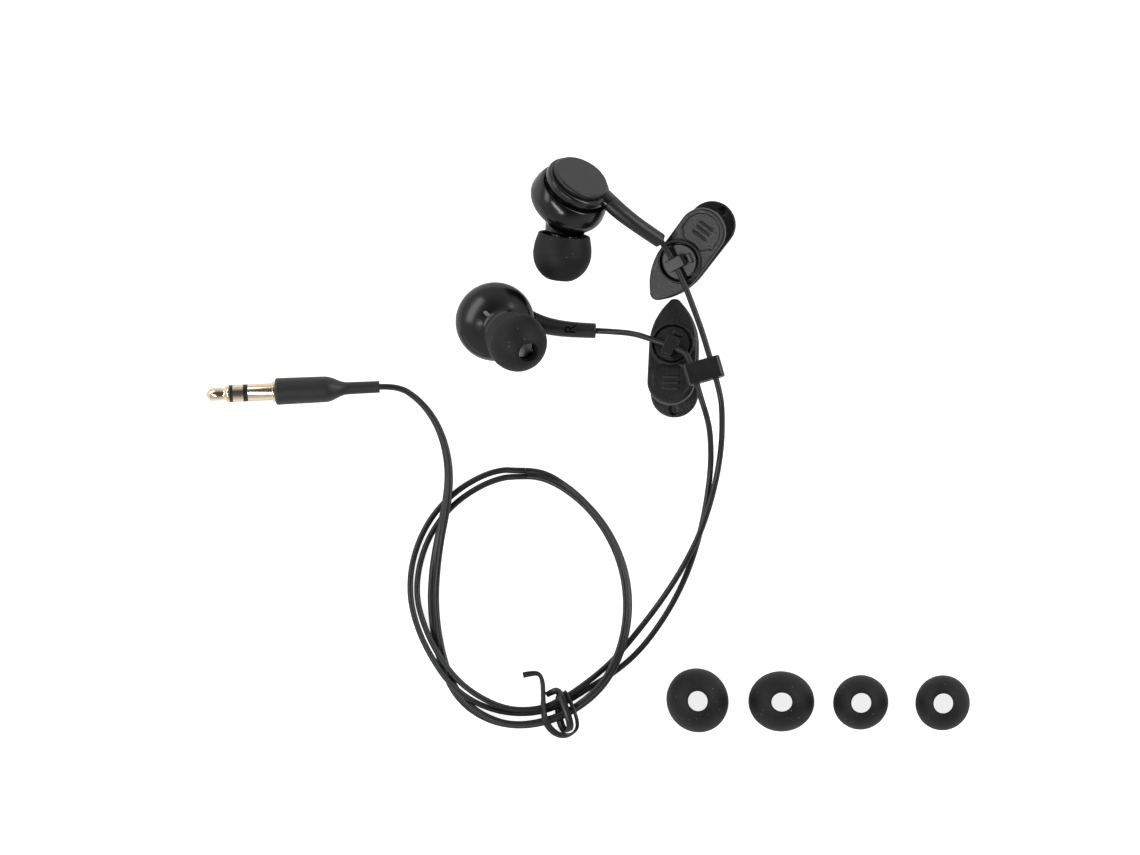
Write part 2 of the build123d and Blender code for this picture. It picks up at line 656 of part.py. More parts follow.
def cable_hook(clip, cord_turn):
    """The disc that turns in the upper jaw's ring, its snap-in pin and the arch that holds the cord."""
    frame = hook_frame(clip, cord_turn)
    disc_top = WELL_FLOOR + RUNNING_FIT + DISC_THICKNESS
    channel_height = disc_top + HOOK_WALL / 2 + STRAND_RADIUS
    with BuildPart() as hook:
        add(ring(frame, 0, DISC_RADIUS, WELL_FLOOR + RUNNING_FIT, disc_top))
        add(ring(frame, 0, SWIVEL_PIN, -0.45, WELL_FLOOR + RUNNING_FIT))
        add(ring(frame, 0, SWIVEL_PIN + 0.45, -0.45, -RUNNING_FIT))
        with BuildSketch(frame.offset(disc_top)):
            with Locations((0, -HOOK_OFFSET)):
                RectangleRounded(HOOK_WIDTH, HOOK_LENGTH, 0.4)
        extrude(amount=HOOK_HEIGHT)
        with BuildSketch(frame.offset(disc_top)):
            with Locations(HOOK_NUB_PLACE):
                RectangleRounded(*HOOK_NUB, 0.3)
        extrude(amount=0.5)
        with BuildSketch(plane_in(frame, (0, -HOOK_OFFSET, channel_height), (0, 1, 0), (1, 0, 0))):
            Circle(STRAND_RADIUS + RUNNING_FIT)
            with Locations((HOOK_LENGTH / 2, 0)):
                Rectangle(HOOK_LENGTH, 1.6 * STRAND_RADIUS)
        extrude(amount=HOOK_WIDTH, both=True, mode=Mode.SUBTRACT)
    return hook.part


def hook_point(clip, cord_turn, along=0.0):
    """A point on the cord's line through the hook."""
    channel = WELL_FLOOR + RUNNING_FIT + DISC_THICKNESS + HOOK_WALL / 2 + STRAND_RADIUS
    return at(hook_frame(clip, cord_turn), along, -HOOK_OFFSET, channel)


for side, placed in CLIPS.items():
    clip = placed["frame"]
    save(clip_upper_jaw(clip), f"{side}_clip_upper_jaw")
    save(clip_lower_jaw(clip), f"{side}_clip_lower_jaw")
    save(clip_hinge_pin(clip), f"{side}_clip_hinge_pin")
    save(clip_spring(clip), f"{side}_clip_spring")
    save(cable_hook(clip, placed["cord_turn"]), f"{side}_cable_hook")
    for along in (-HOOK_WIDTH, HOOK_WIDTH):
        print(side, "cord beside its hook", hook_point(clip, placed["cord_turn"], along))


# ------------------------------------------------------------------ jack plug
PLUG_AXIS = Plane(origin=(-88.2, 10.75, GRIP_RADIUS + 0.03), x_dir=(0, 0, 1), z_dir=(-0.99897, -0.04536, 0))
flange_end = PLUG_FLANGE
sleeve_end = flange_end + SLEEVE_LENGTH
rear_band_end = sleeve_end + REAR_INSULATOR
ring_end = rear_band_end + RING_LENGTH
front_band_end = ring_end + FRONT_INSULATOR

with BuildPart() as plug_sleeve:
    add(ring(PLUG_AXIS, PLUG_CORE_RADIUS, PLUG_FLANGE_RADIUS, 0, flange_end))
    add(ring(PLUG_AXIS, PLUG_CORE_RADIUS, PLUG_RADIUS, flange_end, sleeve_end))
save(plug_sleeve.part, "plug_sleeve")

save(ring(PLUG_AXIS, PLUG_CORE_RADIUS, PLUG_RADIUS, rear_band_end, ring_end), "plug_ring")

with BuildPart() as plug_insulators:
    add(ring(PLUG_AXIS, PLUG_CORE_RADIUS, PLUG_RADIUS, sleeve_end, rear_band_end))
    add(ring(PLUG_AXIS, PLUG_CORE_RADIUS, PLUG_RADIUS, ring_end, front_band_end))
save(plug_insulators.part, "plug_insulators")

core = PLUG_CORE_RADIUS - SEAT_CLEARANCE / 2
tip_length = PLUG_LENGTH - front_band_end
shoulder_end, waist, swell, point = [front_band_end + share * tip_length for share in PLUG_TIP_SHARES]
with BuildPart() as plug_tip:
    add(revolved(PLUG_AXIS, (0, -PLUG_CORE_DEPTH), (core, -PLUG_CORE_DEPTH), (core, front_band_end),
                 (PLUG_RADIUS, front_band_end), (PLUG_RADIUS, shoulder_end), (PLUG_TIP_RADIUS - 0.15, waist),
                 (PLUG_TIP_RADIUS, swell), (PLUG_TIP_RADIUS, point), (PLUG_POINT_RADIUS, PLUG_LENGTH),
                 (0, PLUG_LENGTH)))
save(plug_tip.part, "plug_tip")

taper_start = -GRIP_LENGTH
taper_end = taper_start - GRIP_TAPER
grip_end = taper_end - RELIEF_LENGTH
with BuildPart() as plug_housing:
    with BuildSketch(section(PLUG_AXIS)):
        with BuildLine():
            Polyline((0, grip_end), (0, 0), (GRIP_RADIUS - GRIP_BEVEL, 0), (GRIP_RADIUS, -GRIP_BEVEL),
                     (GRIP_RADIUS - GRIP_DRAFT, taper_start))
            Spline((GRIP_RADIUS - GRIP_DRAFT, taper_start), (RELIEF_RADIUS, taper_end),
                   tangents=((0, -1), (0, -1)))
            Polyline((RELIEF_RADIUS, taper_end), (RELIEF_RADIUS - RELIEF_DRAFT, grip_end), (0, grip_end))
        make_face()
    revolve(axis=axis_of(PLUG_AXIS))
    add(ring(PLUG_AXIS, 0, PLUG_CORE_RADIUS, -PLUG_CORE_DEPTH - RUNNING_FIT, 0), mode=Mode.SUBTRACT)
save(plug_housing.part, "plug_housing")


# ------------------------------------------------------------------ spare ear tips
SPARE_TIPS = {
    "spare_tip_large_1": ((-3.1, -51.5), LARGE_TIP_RADIUS, LARGE_TIP_LENGTH),
    "spare_tip_large_2": ((13.8, -51.7), LARGE_TIP_RADIUS, LARGE_TIP_LENGTH),
    "spare_tip_small_1": ((29.8, -51.9), SMALL_TIP_RADIUS, SMALL_TIP_LENGTH),
    "spare_tip_small_2": ((46.3, -52.0), SMALL_TIP_RADIUS, SMALL_TIP_LENGTH),
}
for name, (place, radius, length) in SPARE_TIPS.items():
    rim_radius = radius * TIP_RIM_RADIUS / TIP_RADIUS
    save(ear_tip(Plane(origin=(*place, 0)), radius, rim_radius, length), name)


# ------------------------------------------------------------------ cord slider
SLIDER_FRAME = Plane(origin=(-2.0, 14.9, 9.75), x_dir=(0.961, 0.276, 0), z_dir=(-0.043, 0.149, 0.988))

with BuildPart() as cord_slider:
    across = plane_in(SLIDER_FRAME, (0, 0, 0), (1, 0, 0), (0, -1, 0))
    with BuildSketch(across):
        RectangleRounded(SLIDER_WIDTH, SLIDER_THICKNESS, 0.85)
    extrude(amount=SLIDER_LENGTH / 2, both=True)
    ends = cord_slider.faces().sort_by(Axis(SLIDER_FRAME.origin, SLIDER_FRAME.y_dir))
    fillet(ends[0].edges() + ends[-1].edges(), radius=0.3)
    with BuildSketch(across):
        with Locations((-SLIDER_PITCH / 2, 0), (SLIDER_PITCH / 2, 0)):
            Circle(STRAND_RADIUS + 2 * RUNNING_FIT)
        SlotOverall(1.6, 0.9)
    extrude(amount=SLIDER_LENGTH, both=True, mode=Mode.SUBTRACT)
save(cord_slider.part, "cord_slider")


# ------------------------------------------------------------------ cords
# Hand-laid routes. The twin cord runs from the plug round one loop to its split. Its two strands run on
# round the loop beside it, through the slider and a clip hook each, and up to an earphone's boot.
TWIN_ROUTE = [
    (-63.4, 11.87, 2.75), (-59.5, 9.3, 1.7), (-56.4, 5.6, 1.0), (-54.3, 1.0, 0.95), (-53.2, -4.6, 1.3),
    (-53.4, -10.0, 2.35), (-54.3, -15.0, 2.5), (-55.3, -19.6, 2.35), (-56.1, -25.0, 1.2), (-56.5, -31.2, 0.9),
    (-55.9, -38.2, 0.9), (-54.2, -45.2, 0.9), (-51.3, -51.1, 0.9), (-46.4, -55.0, 0.9), (-40.4, -56.8, 1.0),
    (-33.8, -56.0, 1.5), (-27.8, -53.4, 1.6), (-22.7, -49.2, 2.35), (-19.4, -43.8, 2.5), (-17.5, -37.6, 2.3),
    (-17.0, -30.8, 1.1), (-18.3, -23.6, 0.9), (-21.6, -16.7, 0.9), (-26.3, -11.2, 0.9), (-31.4, -7.4, 0.9),
    (-35.4, -5.8, 0.9), (-37.8, -5.8, 0.9),
]
RIGHT_ROUTE = [
    (-37.8, -5.19, 0.9), (-39.8, -5.19, 0.9), (-42.6, -5.0, 0.65), (-46.8, -6.3, 0.6), (-51.6, -9.2, 0.6),
    (-55.8, -13.2, 0.6),
    (-58.9, -18.2, 0.6), (-60.9, -24.3, 0.6), (-61.2, -30.9, 0.9), (-59.5, -37.4, 2.0), (-56.5, -43.4, 2.75),
    (-52.7, -48.7, 2.75), (-47.7, -52.3, 1.9), (-41.4, -54.3, 0.9), (-34.8, -54.1, 1.2), (-29.4, -51.9, 1.2),
    (-24.5, -48.8, 0.8), (-19.7, -45.9, 0.6), (-15.2, -42.1, 0.6), (-10.9, -36.7, 0.6), (-7.0, -30.2, 0.6),
    (-4.2, -23.6, 0.6), (-2.2, -16.6, 0.7), (-0.9, -9.6, 0.8), (-0.3, -3.2, 2.4), (-0.6, 2.8, 6.9),
    (-1.5, 6.4, 9.9), (-2.45, 9.22, 10.59), (-4.85, 17.58, 9.22), (-6.37, 19.0, 7.74), (-11.8, 21.07, 6.48),
    (-15.7, 22.4, 4.9), (-19.8, 22.84, 2.5),
]
LEFT_ROUTE = [
    (-37.8, -6.41, 0.9), (-39.8, -6.41, 0.9), (-42.8, -6.7, 0.65), (-46.9, -8.3, 0.6), (-51.5, -11.3, 0.6),
    (-55.1, -15.1, 0.6),
    (-57.9, -19.9, 0.6), (-59.5, -25.4, 0.6), (-59.8, -31.1, 0.9), (-58.1, -37.0, 2.0), (-55.3, -42.6, 2.75),
    (-51.6, -47.5, 2.8), (-47.0, -51.0, 2.7), (-41.2, -53.5, 2.15), (-34.9, -53.4, 2.35), (-29.8, -51.1, 2.3),
    (-25.1, -47.8, 1.3), (-21.1, -44.5, 0.6), (-18.0, -41.2, 0.6), (-14.4, -36.8, 0.6), (-10.3, -31.4, 1.0),
    (-6.4, -25.4, 2.0), (-3.0, -19.0, 2.1), (-0.7, -12.6, 2.2), (0.9, -6.2, 2.0), (1.8, 0.2, 4.2),
    (1.8, 6.4, 9.4), (1.4, 10.32, 10.59), (-1.06, 18.9, 9.19), (-2.5, 23.6, 8.3), (-4.5, 29.0, 7.4),
    (-6.16, 33.39, 6.79), (-8.78, 38.6, 6.75),
]


def cord(name, radius, route):
    """A round cord: straight runs joined by the largest arcs that leave a tenth of each run straight."""
    points = [Vector(*point) for point in route]
    radii = []
    for before, corner, after in zip(points, points[1:], points[2:]):
        turn = radians((corner - before).get_angle(after - corner))
        radii.append(0.45 * min((corner - before).length, (after - corner).length) / tan(turn / 2))
    with BuildPart() as tube:
        with BuildLine() as path:
            FilletPolyline(*points, radius=radii)
        with BuildSketch(Plane(origin=path.line @ 0, z_dir=path.line % 0)):
            Circle(radius)
        sweep()
    length = sum(edge.length for edge in path.edges())
    ratio = tube.part.volume / (pi * radius**2 * length)
    print(name, "length", round(length, 1), "volume ratio", round(ratio, 4))
    print(name, "bend radii", [round(value, 1) for value in radii])
    save(tube.part, name)


def boot_end(side):
    placed = EARPHONES[side]
    return tuple(arm_planes(placed["frame"], placed["hand"], placed["droop"])[-1].origin)


print("boot ends", boot_end("left"), boot_end("right"))
cord("main_cord", TWIN_RADIUS, [tuple(at(PLUG_AXIS, 0, 0, grip_end))] + TWIN_ROUTE)
cord("left_cord", STRAND_RADIUS, LEFT_ROUTE + [boot_end("left")])
cord("right_cord", STRAND_RADIUS, RIGHT_ROUTE + [boot_end("right")])


# ------------------------------------------------------------------ twist tie
def tie_ring(x, y, lean, length):
    """One turn of the tie about the cords: a flat band round a flattened bundle."""
    lie = radians(lean)
    plane = Plane(origin=(x, y, TIE_BUNDLE / 2 + TIE_THICKNESS + 0.02), x_dir=(sin(lie), cos(lie), 0),
                  z_dir=(cos(lie), -sin(lie), 0))
    outer = TIE_BUNDLE + 2 * TIE_THICKNESS
    with BuildPart() as band:
        with BuildSketch(plane):
            RectangleRounded(length + 2 * TIE_THICKNESS, outer, 0.45 * outer)
            RectangleRounded(length, TIE_BUNDLE, 0.45 * TIE_BUNDLE, mode=Mode.SUBTRACT)
        extrude(amount=TIE_WIDTH / 2, both=True)
    return band.part


def tie_strip(start, end, height):
    """A straight stretch of the tie, on edge to the surface it lies on."""
    run = Vector(*end) - Vector(*start)
    with BuildPart() as strip:
        with BuildSketch(Plane(origin=(*start, height), x_dir=(run.X, run.Y, 0), z_dir=(0, 0, 1))):
            with Locations((run.length / 2, 0)):
                Rectangle(run.length + TIE_THICKNESS, 2 * TIE_THICKNESS)
        extrude(amount=TIE_WIDTH)
    return strip.part


with BuildPart() as twist_tie:
    add(tie_ring(-34.3, -54.9, 0, 6.0))
    add(tie_ring(-29.3, -53.6, -19.5, 6.6))
    add(tie_strip((-34.3, -58.1), (-28.3, -57.5), 1.0))
    add(tie_strip((-34.4, -51.7), (-34.4, -46.8), 1.0))
    add(tie_strip((-34.4, -46.8), (-38.2, -46.6), 1.0))
    add(tie_strip((-30.6, -50.0), (-33.5, -50.6), 1.6))
save(twist_tie.part, "twist_tie")
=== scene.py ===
# %% [markdown]
# # Wired in-ear earphones
# A set of in-ear earphones laid out on a white table: two earphones with silicone tips, a cord that runs
# round one loop to a gold jack plug, two garment clips, a cord slider, a twist tie and four spare tips.
# The hard parts come from a CAD model. This scene gives every surface its finish. It makes the soft parts
# (cords, boots, ear tips, tie) and the mouldings with flowing or rounded edges (front shells, clips, hooks,
# slider) as meshes of its own, because plain solids look too stiff and too sharp for them.

# %% Load the CAD frame
import json

import bpy
from math import acos, atan2, cos, degrees, pi, radians, sin, sqrt
from mathutils import Matrix, Vector, noise


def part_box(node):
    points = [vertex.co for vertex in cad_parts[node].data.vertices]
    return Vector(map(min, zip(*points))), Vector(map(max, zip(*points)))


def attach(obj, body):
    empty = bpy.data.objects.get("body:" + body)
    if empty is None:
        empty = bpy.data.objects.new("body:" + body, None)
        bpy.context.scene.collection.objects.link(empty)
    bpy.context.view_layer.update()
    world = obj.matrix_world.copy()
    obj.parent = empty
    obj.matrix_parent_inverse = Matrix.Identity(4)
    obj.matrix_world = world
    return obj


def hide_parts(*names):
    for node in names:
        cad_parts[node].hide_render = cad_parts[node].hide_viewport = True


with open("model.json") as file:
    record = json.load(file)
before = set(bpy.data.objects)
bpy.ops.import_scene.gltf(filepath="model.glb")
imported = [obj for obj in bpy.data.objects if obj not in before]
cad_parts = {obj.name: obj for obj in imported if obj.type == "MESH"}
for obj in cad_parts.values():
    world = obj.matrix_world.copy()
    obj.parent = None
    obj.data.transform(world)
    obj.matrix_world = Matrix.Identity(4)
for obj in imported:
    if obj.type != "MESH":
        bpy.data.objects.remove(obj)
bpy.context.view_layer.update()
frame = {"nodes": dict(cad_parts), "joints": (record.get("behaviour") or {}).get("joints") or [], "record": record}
nodes = frame["nodes"]
joints = {joint["name"]: joint for joint in frame["joints"]}
MM = 0.001
SET = "laid_out_set"
print("CAD nodes:", len(nodes), "joints:", len(joints))

# %% [markdown]
# ## The camera
# The set is seen from straight above. A long lens from far away keeps every piece upright in the picture,
# as a copy stand does. The lens follows from the width of table that has to fit.

# %% Camera above the table
FIELD_WIDTH = 230.3 * MM
FIELD_CENTRE = (-28.8 * MM, 3.5 * MM)
CAMERA_HEIGHT = 1.8
SENSOR_WIDTH = 36           # millimetres, as the lens is

camera_data = bpy.data.cameras.new("copy_stand")
camera = bpy.data.objects.new("copy_stand", camera_data)
bpy.context.scene.collection.objects.link(camera)
camera_data.sensor_width = SENSOR_WIDTH
camera_data.lens = SENSOR_WIDTH * CAMERA_HEIGHT / FIELD_WIDTH
camera_data.clip_start = 0.01
camera_data.clip_end = 20
camera.location = (*FIELD_CENTRE, CAMERA_HEIGHT)
bpy.context.scene.camera = camera
print("lens", round(camera_data.lens), "mm")

# %% [markdown]
# ## Cord routes
# The cord leaves the plug as two strands joined side by side. It runs round the loop once, then splits, and
# each strand goes on alone through the slider and its clip's hook, up to one earphone. A cord's line is a
# smooth spline, and its control points are placed where the cord lies, crosses or climbs.

# %% Control points of the three cords, in millimetres
TWIN_ROUTE = [
    (-67.22, 11.7, 2.75), (-63.4, 11.87, 2.75), (-59.5, 9.3, 1.7), (-56.4, 5.6, 1.0), (-54.3, 1.0, 0.95),
    (-53.2, -4.6, 1.3), (-53.4, -10.0, 2.35), (-54.3, -15.0, 2.5), (-55.3, -19.6, 2.35),
    (-56.1, -25.0, 1.2), (-56.5, -31.2, 0.9), (-55.9, -38.2, 0.9), (-54.2, -45.2, 0.9), (-51.3, -51.1, 0.9),
    (-46.4, -55.0, 0.9), (-40.4, -56.8, 1.0), (-33.8, -56.0, 1.5), (-27.8, -53.4, 1.6),
    (-22.7, -49.2, 2.35), (-19.4, -43.8, 2.5), (-17.5, -37.6, 2.3), (-17.0, -30.8, 1.1),
    (-18.3, -23.6, 0.9), (-21.6, -16.7, 0.9), (-26.3, -11.2, 0.9), (-31.4, -7.4, 0.9), (-35.4, -5.8, 0.9),
    (-37.8, -5.8, 0.9),
]
RIGHT_ROUTE = [
    (-37.8, -5.19, 0.9), (-39.8, -5.19, 0.9), (-42.6, -5.0, 0.65), (-46.8, -6.3, 0.6), (-51.6, -9.2, 0.6),
    (-55.8, -13.2, 0.6), (-58.9, -18.2, 0.6), (-60.9, -24.3, 0.6), (-61.2, -30.9, 0.9), (-59.5, -37.4, 2.0),
    (-56.5, -43.4, 2.75), (-52.7, -48.7, 2.75), (-47.7, -52.3, 1.9), (-41.4, -54.3, 0.9),
    (-34.8, -54.1, 1.2), (-29.4, -51.9, 1.2), (-24.5, -48.8, 0.8), (-19.7, -45.9, 0.6), (-15.2, -42.1, 0.6),
    (-10.9, -36.7, 0.6), (-7.0, -30.2, 0.6), (-4.2, -23.6, 0.6), (-2.2, -16.6, 0.7), (-0.9, -9.6, 0.8),
    (-0.3, -3.2, 2.4), (-0.6, 2.8, 6.9), (-1.5, 6.4, 9.9), (-2.45, 9.22, 10.59), (-4.85, 17.58, 9.22),
    (-6.37, 19.0, 7.74), (-11.8, 21.07, 6.48), (-15.7, 22.4, 4.9), (-19.8, 22.84, 2.5),
    (-23.58, 23.02, 1.95),
]
LEFT_ROUTE = [
    (-37.8, -6.41, 0.9), (-39.8, -6.41, 0.9), (-42.8, -6.7, 0.65), (-46.9, -8.3, 0.6), (-51.5, -11.3, 0.6),
    (-55.1, -15.1, 0.6), (-57.9, -19.9, 0.6), (-59.5, -25.4, 0.6), (-59.8, -31.1, 0.9), (-58.1, -37.0, 2.0),
    (-55.3, -42.6, 2.75), (-51.6, -47.5, 2.8), (-47.0, -51.0, 2.7), (-41.2, -53.5, 2.15),
    (-34.9, -53.4, 2.35), (-29.8, -51.1, 2.3), (-25.1, -47.8, 1.3), (-21.1, -44.5, 0.6),
    (-18.0, -41.2, 0.6), (-14.4, -36.8, 0.6), (-10.3, -31.4, 1.0), (-6.4, -25.4, 2.0), (-3.0, -19.0, 2.1),
    (-0.7, -12.6, 2.2), (0.9, -6.2, 2.0), (1.8, 0.2, 4.2), (1.8, 6.4, 9.4), (1.4, 10.32, 10.59),
    (-1.06, 18.9, 9.19), (-2.5, 23.6, 8.3), (-4.5, 29.0, 7.4), (-6.16, 33.39, 6.79), (-8.78, 38.6, 6.75),
    (-10.54, 41.0, 8.52),
]
print("control points:", len(TWIN_ROUTE), len(RIGHT_ROUTE), len(LEFT_ROUTE))

# %% [markdown]
# ## Materials
# Each finish starts from the real material: its colour as a hex value, its roughness, and a grain whose size
# is the real grain's size. Noise in object space keeps that size on every piece, since a piece's vertices
# are already in metres. One small helper adds a node with its settings and links.

# %% Node helper and colours
def linear(hex_colour):
    """Scene-linear colour of an sRGB hex value."""
    channels = [int(hex_colour[i:i + 2], 16) / 255 for i in (0, 2, 4)]
    return (*[c / 12.92 if c <= 0.04045 else ((c + 0.055) / 1.055) ** 2.4 for c in channels], 1)


def add_node(material, kind, inputs=None, **settings):
    """Adds a node. An input is set to a value, or linked where it is given another node's output."""
    tree = material.node_tree
    made = tree.nodes.new(kind)
    for name, value in settings.items():
        setattr(made, name, value)
    for name, value in (inputs or {}).items():
        if isinstance(value, bpy.types.NodeSocket):
            tree.links.new(value, made.inputs[name])
        else:
            made.inputs[name].default_value = value
    return made


def per_millimetre(size):
    """Noise scale for features of a size in millimetres."""
    return 1 / (size * MM)


# %% [markdown]
# ### One recipe for moulded plastics and rubbers
# Moulded parts differ in colour, roughness and the texture of the mould. The recipe mixes two close colours
# with a slow noise, as handling and flow marks do, lets the roughness wander a little, and bumps the surface
# with the mould's grain. Dust, where there is any, is a scatter of pale points: the core of a few cells of a
# Voronoi pattern, picked by each cell's own random colour, with edges that a fine noise frays.

# %% Moulded finish
PLASTIC_IOR = 1.53          # ABS, PVC and nylon are all close to this
FLOW_MARKS = 3.5            # size of the slow change in tone, in millimetres
DUST_SPACING = 0.9          # millimetres
DUST_PICK = 0.62            # a cell carries a speck where its random value is above this
DUST_COLOUR = "5c5c5a"


def moulded(name, colour, second, roughness, spread, grain, depth, ior=PLASTIC_IOR, dust=0.0):
    """A moulded material. spread is how far its roughness wanders. grain and depth are the size and the
    height of the mould's texture, in millimetres. dust sets the specks' size, and 0 means none."""
    material = bpy.data.materials.new(name)
    material.use_nodes = True
    shader = material.node_tree.nodes["Principled BSDF"]
    place = add_node(material, "ShaderNodeTexCoord").outputs["Object"]
    slow = add_node(material, "ShaderNodeTexNoise",
                    {"Vector": place, "Scale": per_millimetre(FLOW_MARKS), "Detail": 3})
    fine = add_node(material, "ShaderNodeTexNoise",
                    {"Vector": place, "Scale": per_millimetre(grain), "Detail": 2})
    tint = add_node(material, "ShaderNodeValToRGB", {"Fac": slow.outputs["Fac"]})
    tint.color_ramp.elements[0].color = linear(colour)
    tint.color_ramp.elements[0].position = 0.35
    tint.color_ramp.elements[1].color = linear(second)
    tint.color_ramp.elements[1].position = 0.7
    shade = tint.outputs["Color"]
    if dust:
        cells = add_node(material, "ShaderNodeTexVoronoi",
                         {"Vector": place, "Scale": per_millimetre(DUST_SPACING)})
        frayed = add_node(material, "ShaderNodeMath", {0: fine.outputs["Fac"], 1: cells.outputs["Distance"]},
                          operation="ADD")
        near = add_node(material, "ShaderNodeMath", {0: frayed.outputs[0], 1: dust}, operation="LESS_THAN")
        picked = add_node(material, "ShaderNodeMath", {0: cells.outputs["Color"], 1: DUST_PICK},
                          operation="GREATER_THAN")
        speck = add_node(material, "ShaderNodeMath", {0: near.outputs[0], 1: picked.outputs[0]},
                         operation="MULTIPLY")
        dusty = add_node(material, "ShaderNodeMixRGB", {"Fac": speck.outputs[0], "Color1": shade})
        dusty.inputs["Color2"].default_value = linear(DUST_COLOUR)
        shade = dusty.outputs[0]
    wander = add_node(material, "ShaderNodeMapRange", {"Value": slow.outputs["Fac"]})
    wander.inputs["To Min"].default_value = roughness - spread
    wander.inputs["To Max"].default_value = roughness + spread
    bump = add_node(material, "ShaderNodeBump",
                    {"Height": fine.outputs["Fac"], "Strength": 1, "Distance": depth * MM})
    links = material.node_tree.links
    links.new(shade, shader.inputs["Base Color"])
    links.new(wander.outputs[0], shader.inputs["Roughness"])
    links.new(bump.outputs[0], shader.inputs["Normal"])
    shader.inputs["IOR"].default_value = ior
    return material


# %% [markdown]
# ### Metals
# The jack plug is brass under a thin gold plating, turned on a lathe, so fine rings run round it. It and the
# steel pieces are full metals, with their colour in the reflection. The meshes are woven stainless wire, and
# they count as half metal, since the gaps between the wires reflect nothing.

# %% Metal finish
def metal(name, colour, roughness, spread, grain, depth, stretch=(1, 1, 1)):
    """A metal with a fine surface texture, drawn out along an axis where stretch is below one."""
    material = bpy.data.materials.new(name)
    material.use_nodes = True
    shader = material.node_tree.nodes["Principled BSDF"]
    place = add_node(material, "ShaderNodeTexCoord").outputs["Object"]
    drawn = add_node(material, "ShaderNodeMapping", {"Vector": place})
    drawn.inputs["Scale"].default_value = stretch
    marks = add_node(material, "ShaderNodeTexNoise",
                     {"Vector": drawn.outputs[0], "Scale": per_millimetre(grain)})
    wander = add_node(material, "ShaderNodeMapRange", {"Value": marks.outputs["Fac"]})
    wander.inputs["To Min"].default_value = roughness - spread
    wander.inputs["To Max"].default_value = roughness + spread
    bump = add_node(material, "ShaderNodeBump", {"Height": marks.outputs["Fac"], "Distance": depth * MM})
    links = material.node_tree.links
    links.new(wander.outputs[0], shader.inputs["Roughness"])
    links.new(bump.outputs[0], shader.inputs["Normal"])
    shader.inputs["Base Color"].default_value = linear(colour)
    shader.inputs["Metallic"].default_value = 1
    return material


WAVE_BANDS = 3.2            # bands that a wave texture of scale 1 draws per unit of length
WIRE_HEIGHT = 0.03          # millimetres


def woven_mesh(name, colour, pitch):
    """Woven wire: two sets of crossing ridges, dark in the gaps. pitch is in millimetres."""
    material = bpy.data.materials.new(name)
    material.use_nodes = True
    shader = material.node_tree.nodes["Principled BSDF"]
    place = add_node(material, "ShaderNodeTexCoord").outputs["Object"]
    waves = []
    for axis in ("X", "Y"):
        wave = add_node(material, "ShaderNodeTexWave", {"Vector": place}, bands_direction=axis)
        wave.inputs["Scale"].default_value = per_millimetre(pitch) / WAVE_BANDS
        waves.append(wave.outputs["Fac"])
    wires = add_node(material, "ShaderNodeMath", {0: waves[0], 1: waves[1]}, operation="MAXIMUM")
    ramp = add_node(material, "ShaderNodeValToRGB", {"Fac": wires.outputs[0]})
    ramp.color_ramp.elements[0].color = linear("151515")
    ramp.color_ramp.elements[0].position = 0.25
    ramp.color_ramp.elements[1].color = linear(colour)
    ramp.color_ramp.elements[1].position = 0.7
    bump = add_node(material, "ShaderNodeBump", {"Height": wires.outputs[0], "Distance": WIRE_HEIGHT * MM})
    links = material.node_tree.links
    links.new(ramp.outputs["Color"], shader.inputs["Base Color"])
    links.new(bump.outputs[0], shader.inputs["Normal"])
    shader.inputs["Metallic"].default_value = 0.5
    shader.inputs["Roughness"].default_value = 0.45
    return material


# %% [markdown]
# ### The set's finishes
# Nearly everything is black, so the pieces part by gloss: mirror-like shells, satin caps and boots, fine
# grained clips, and silicone that is almost matt. The record names a slot for each, and a slot's finish goes
# on every CAD node that uses it.

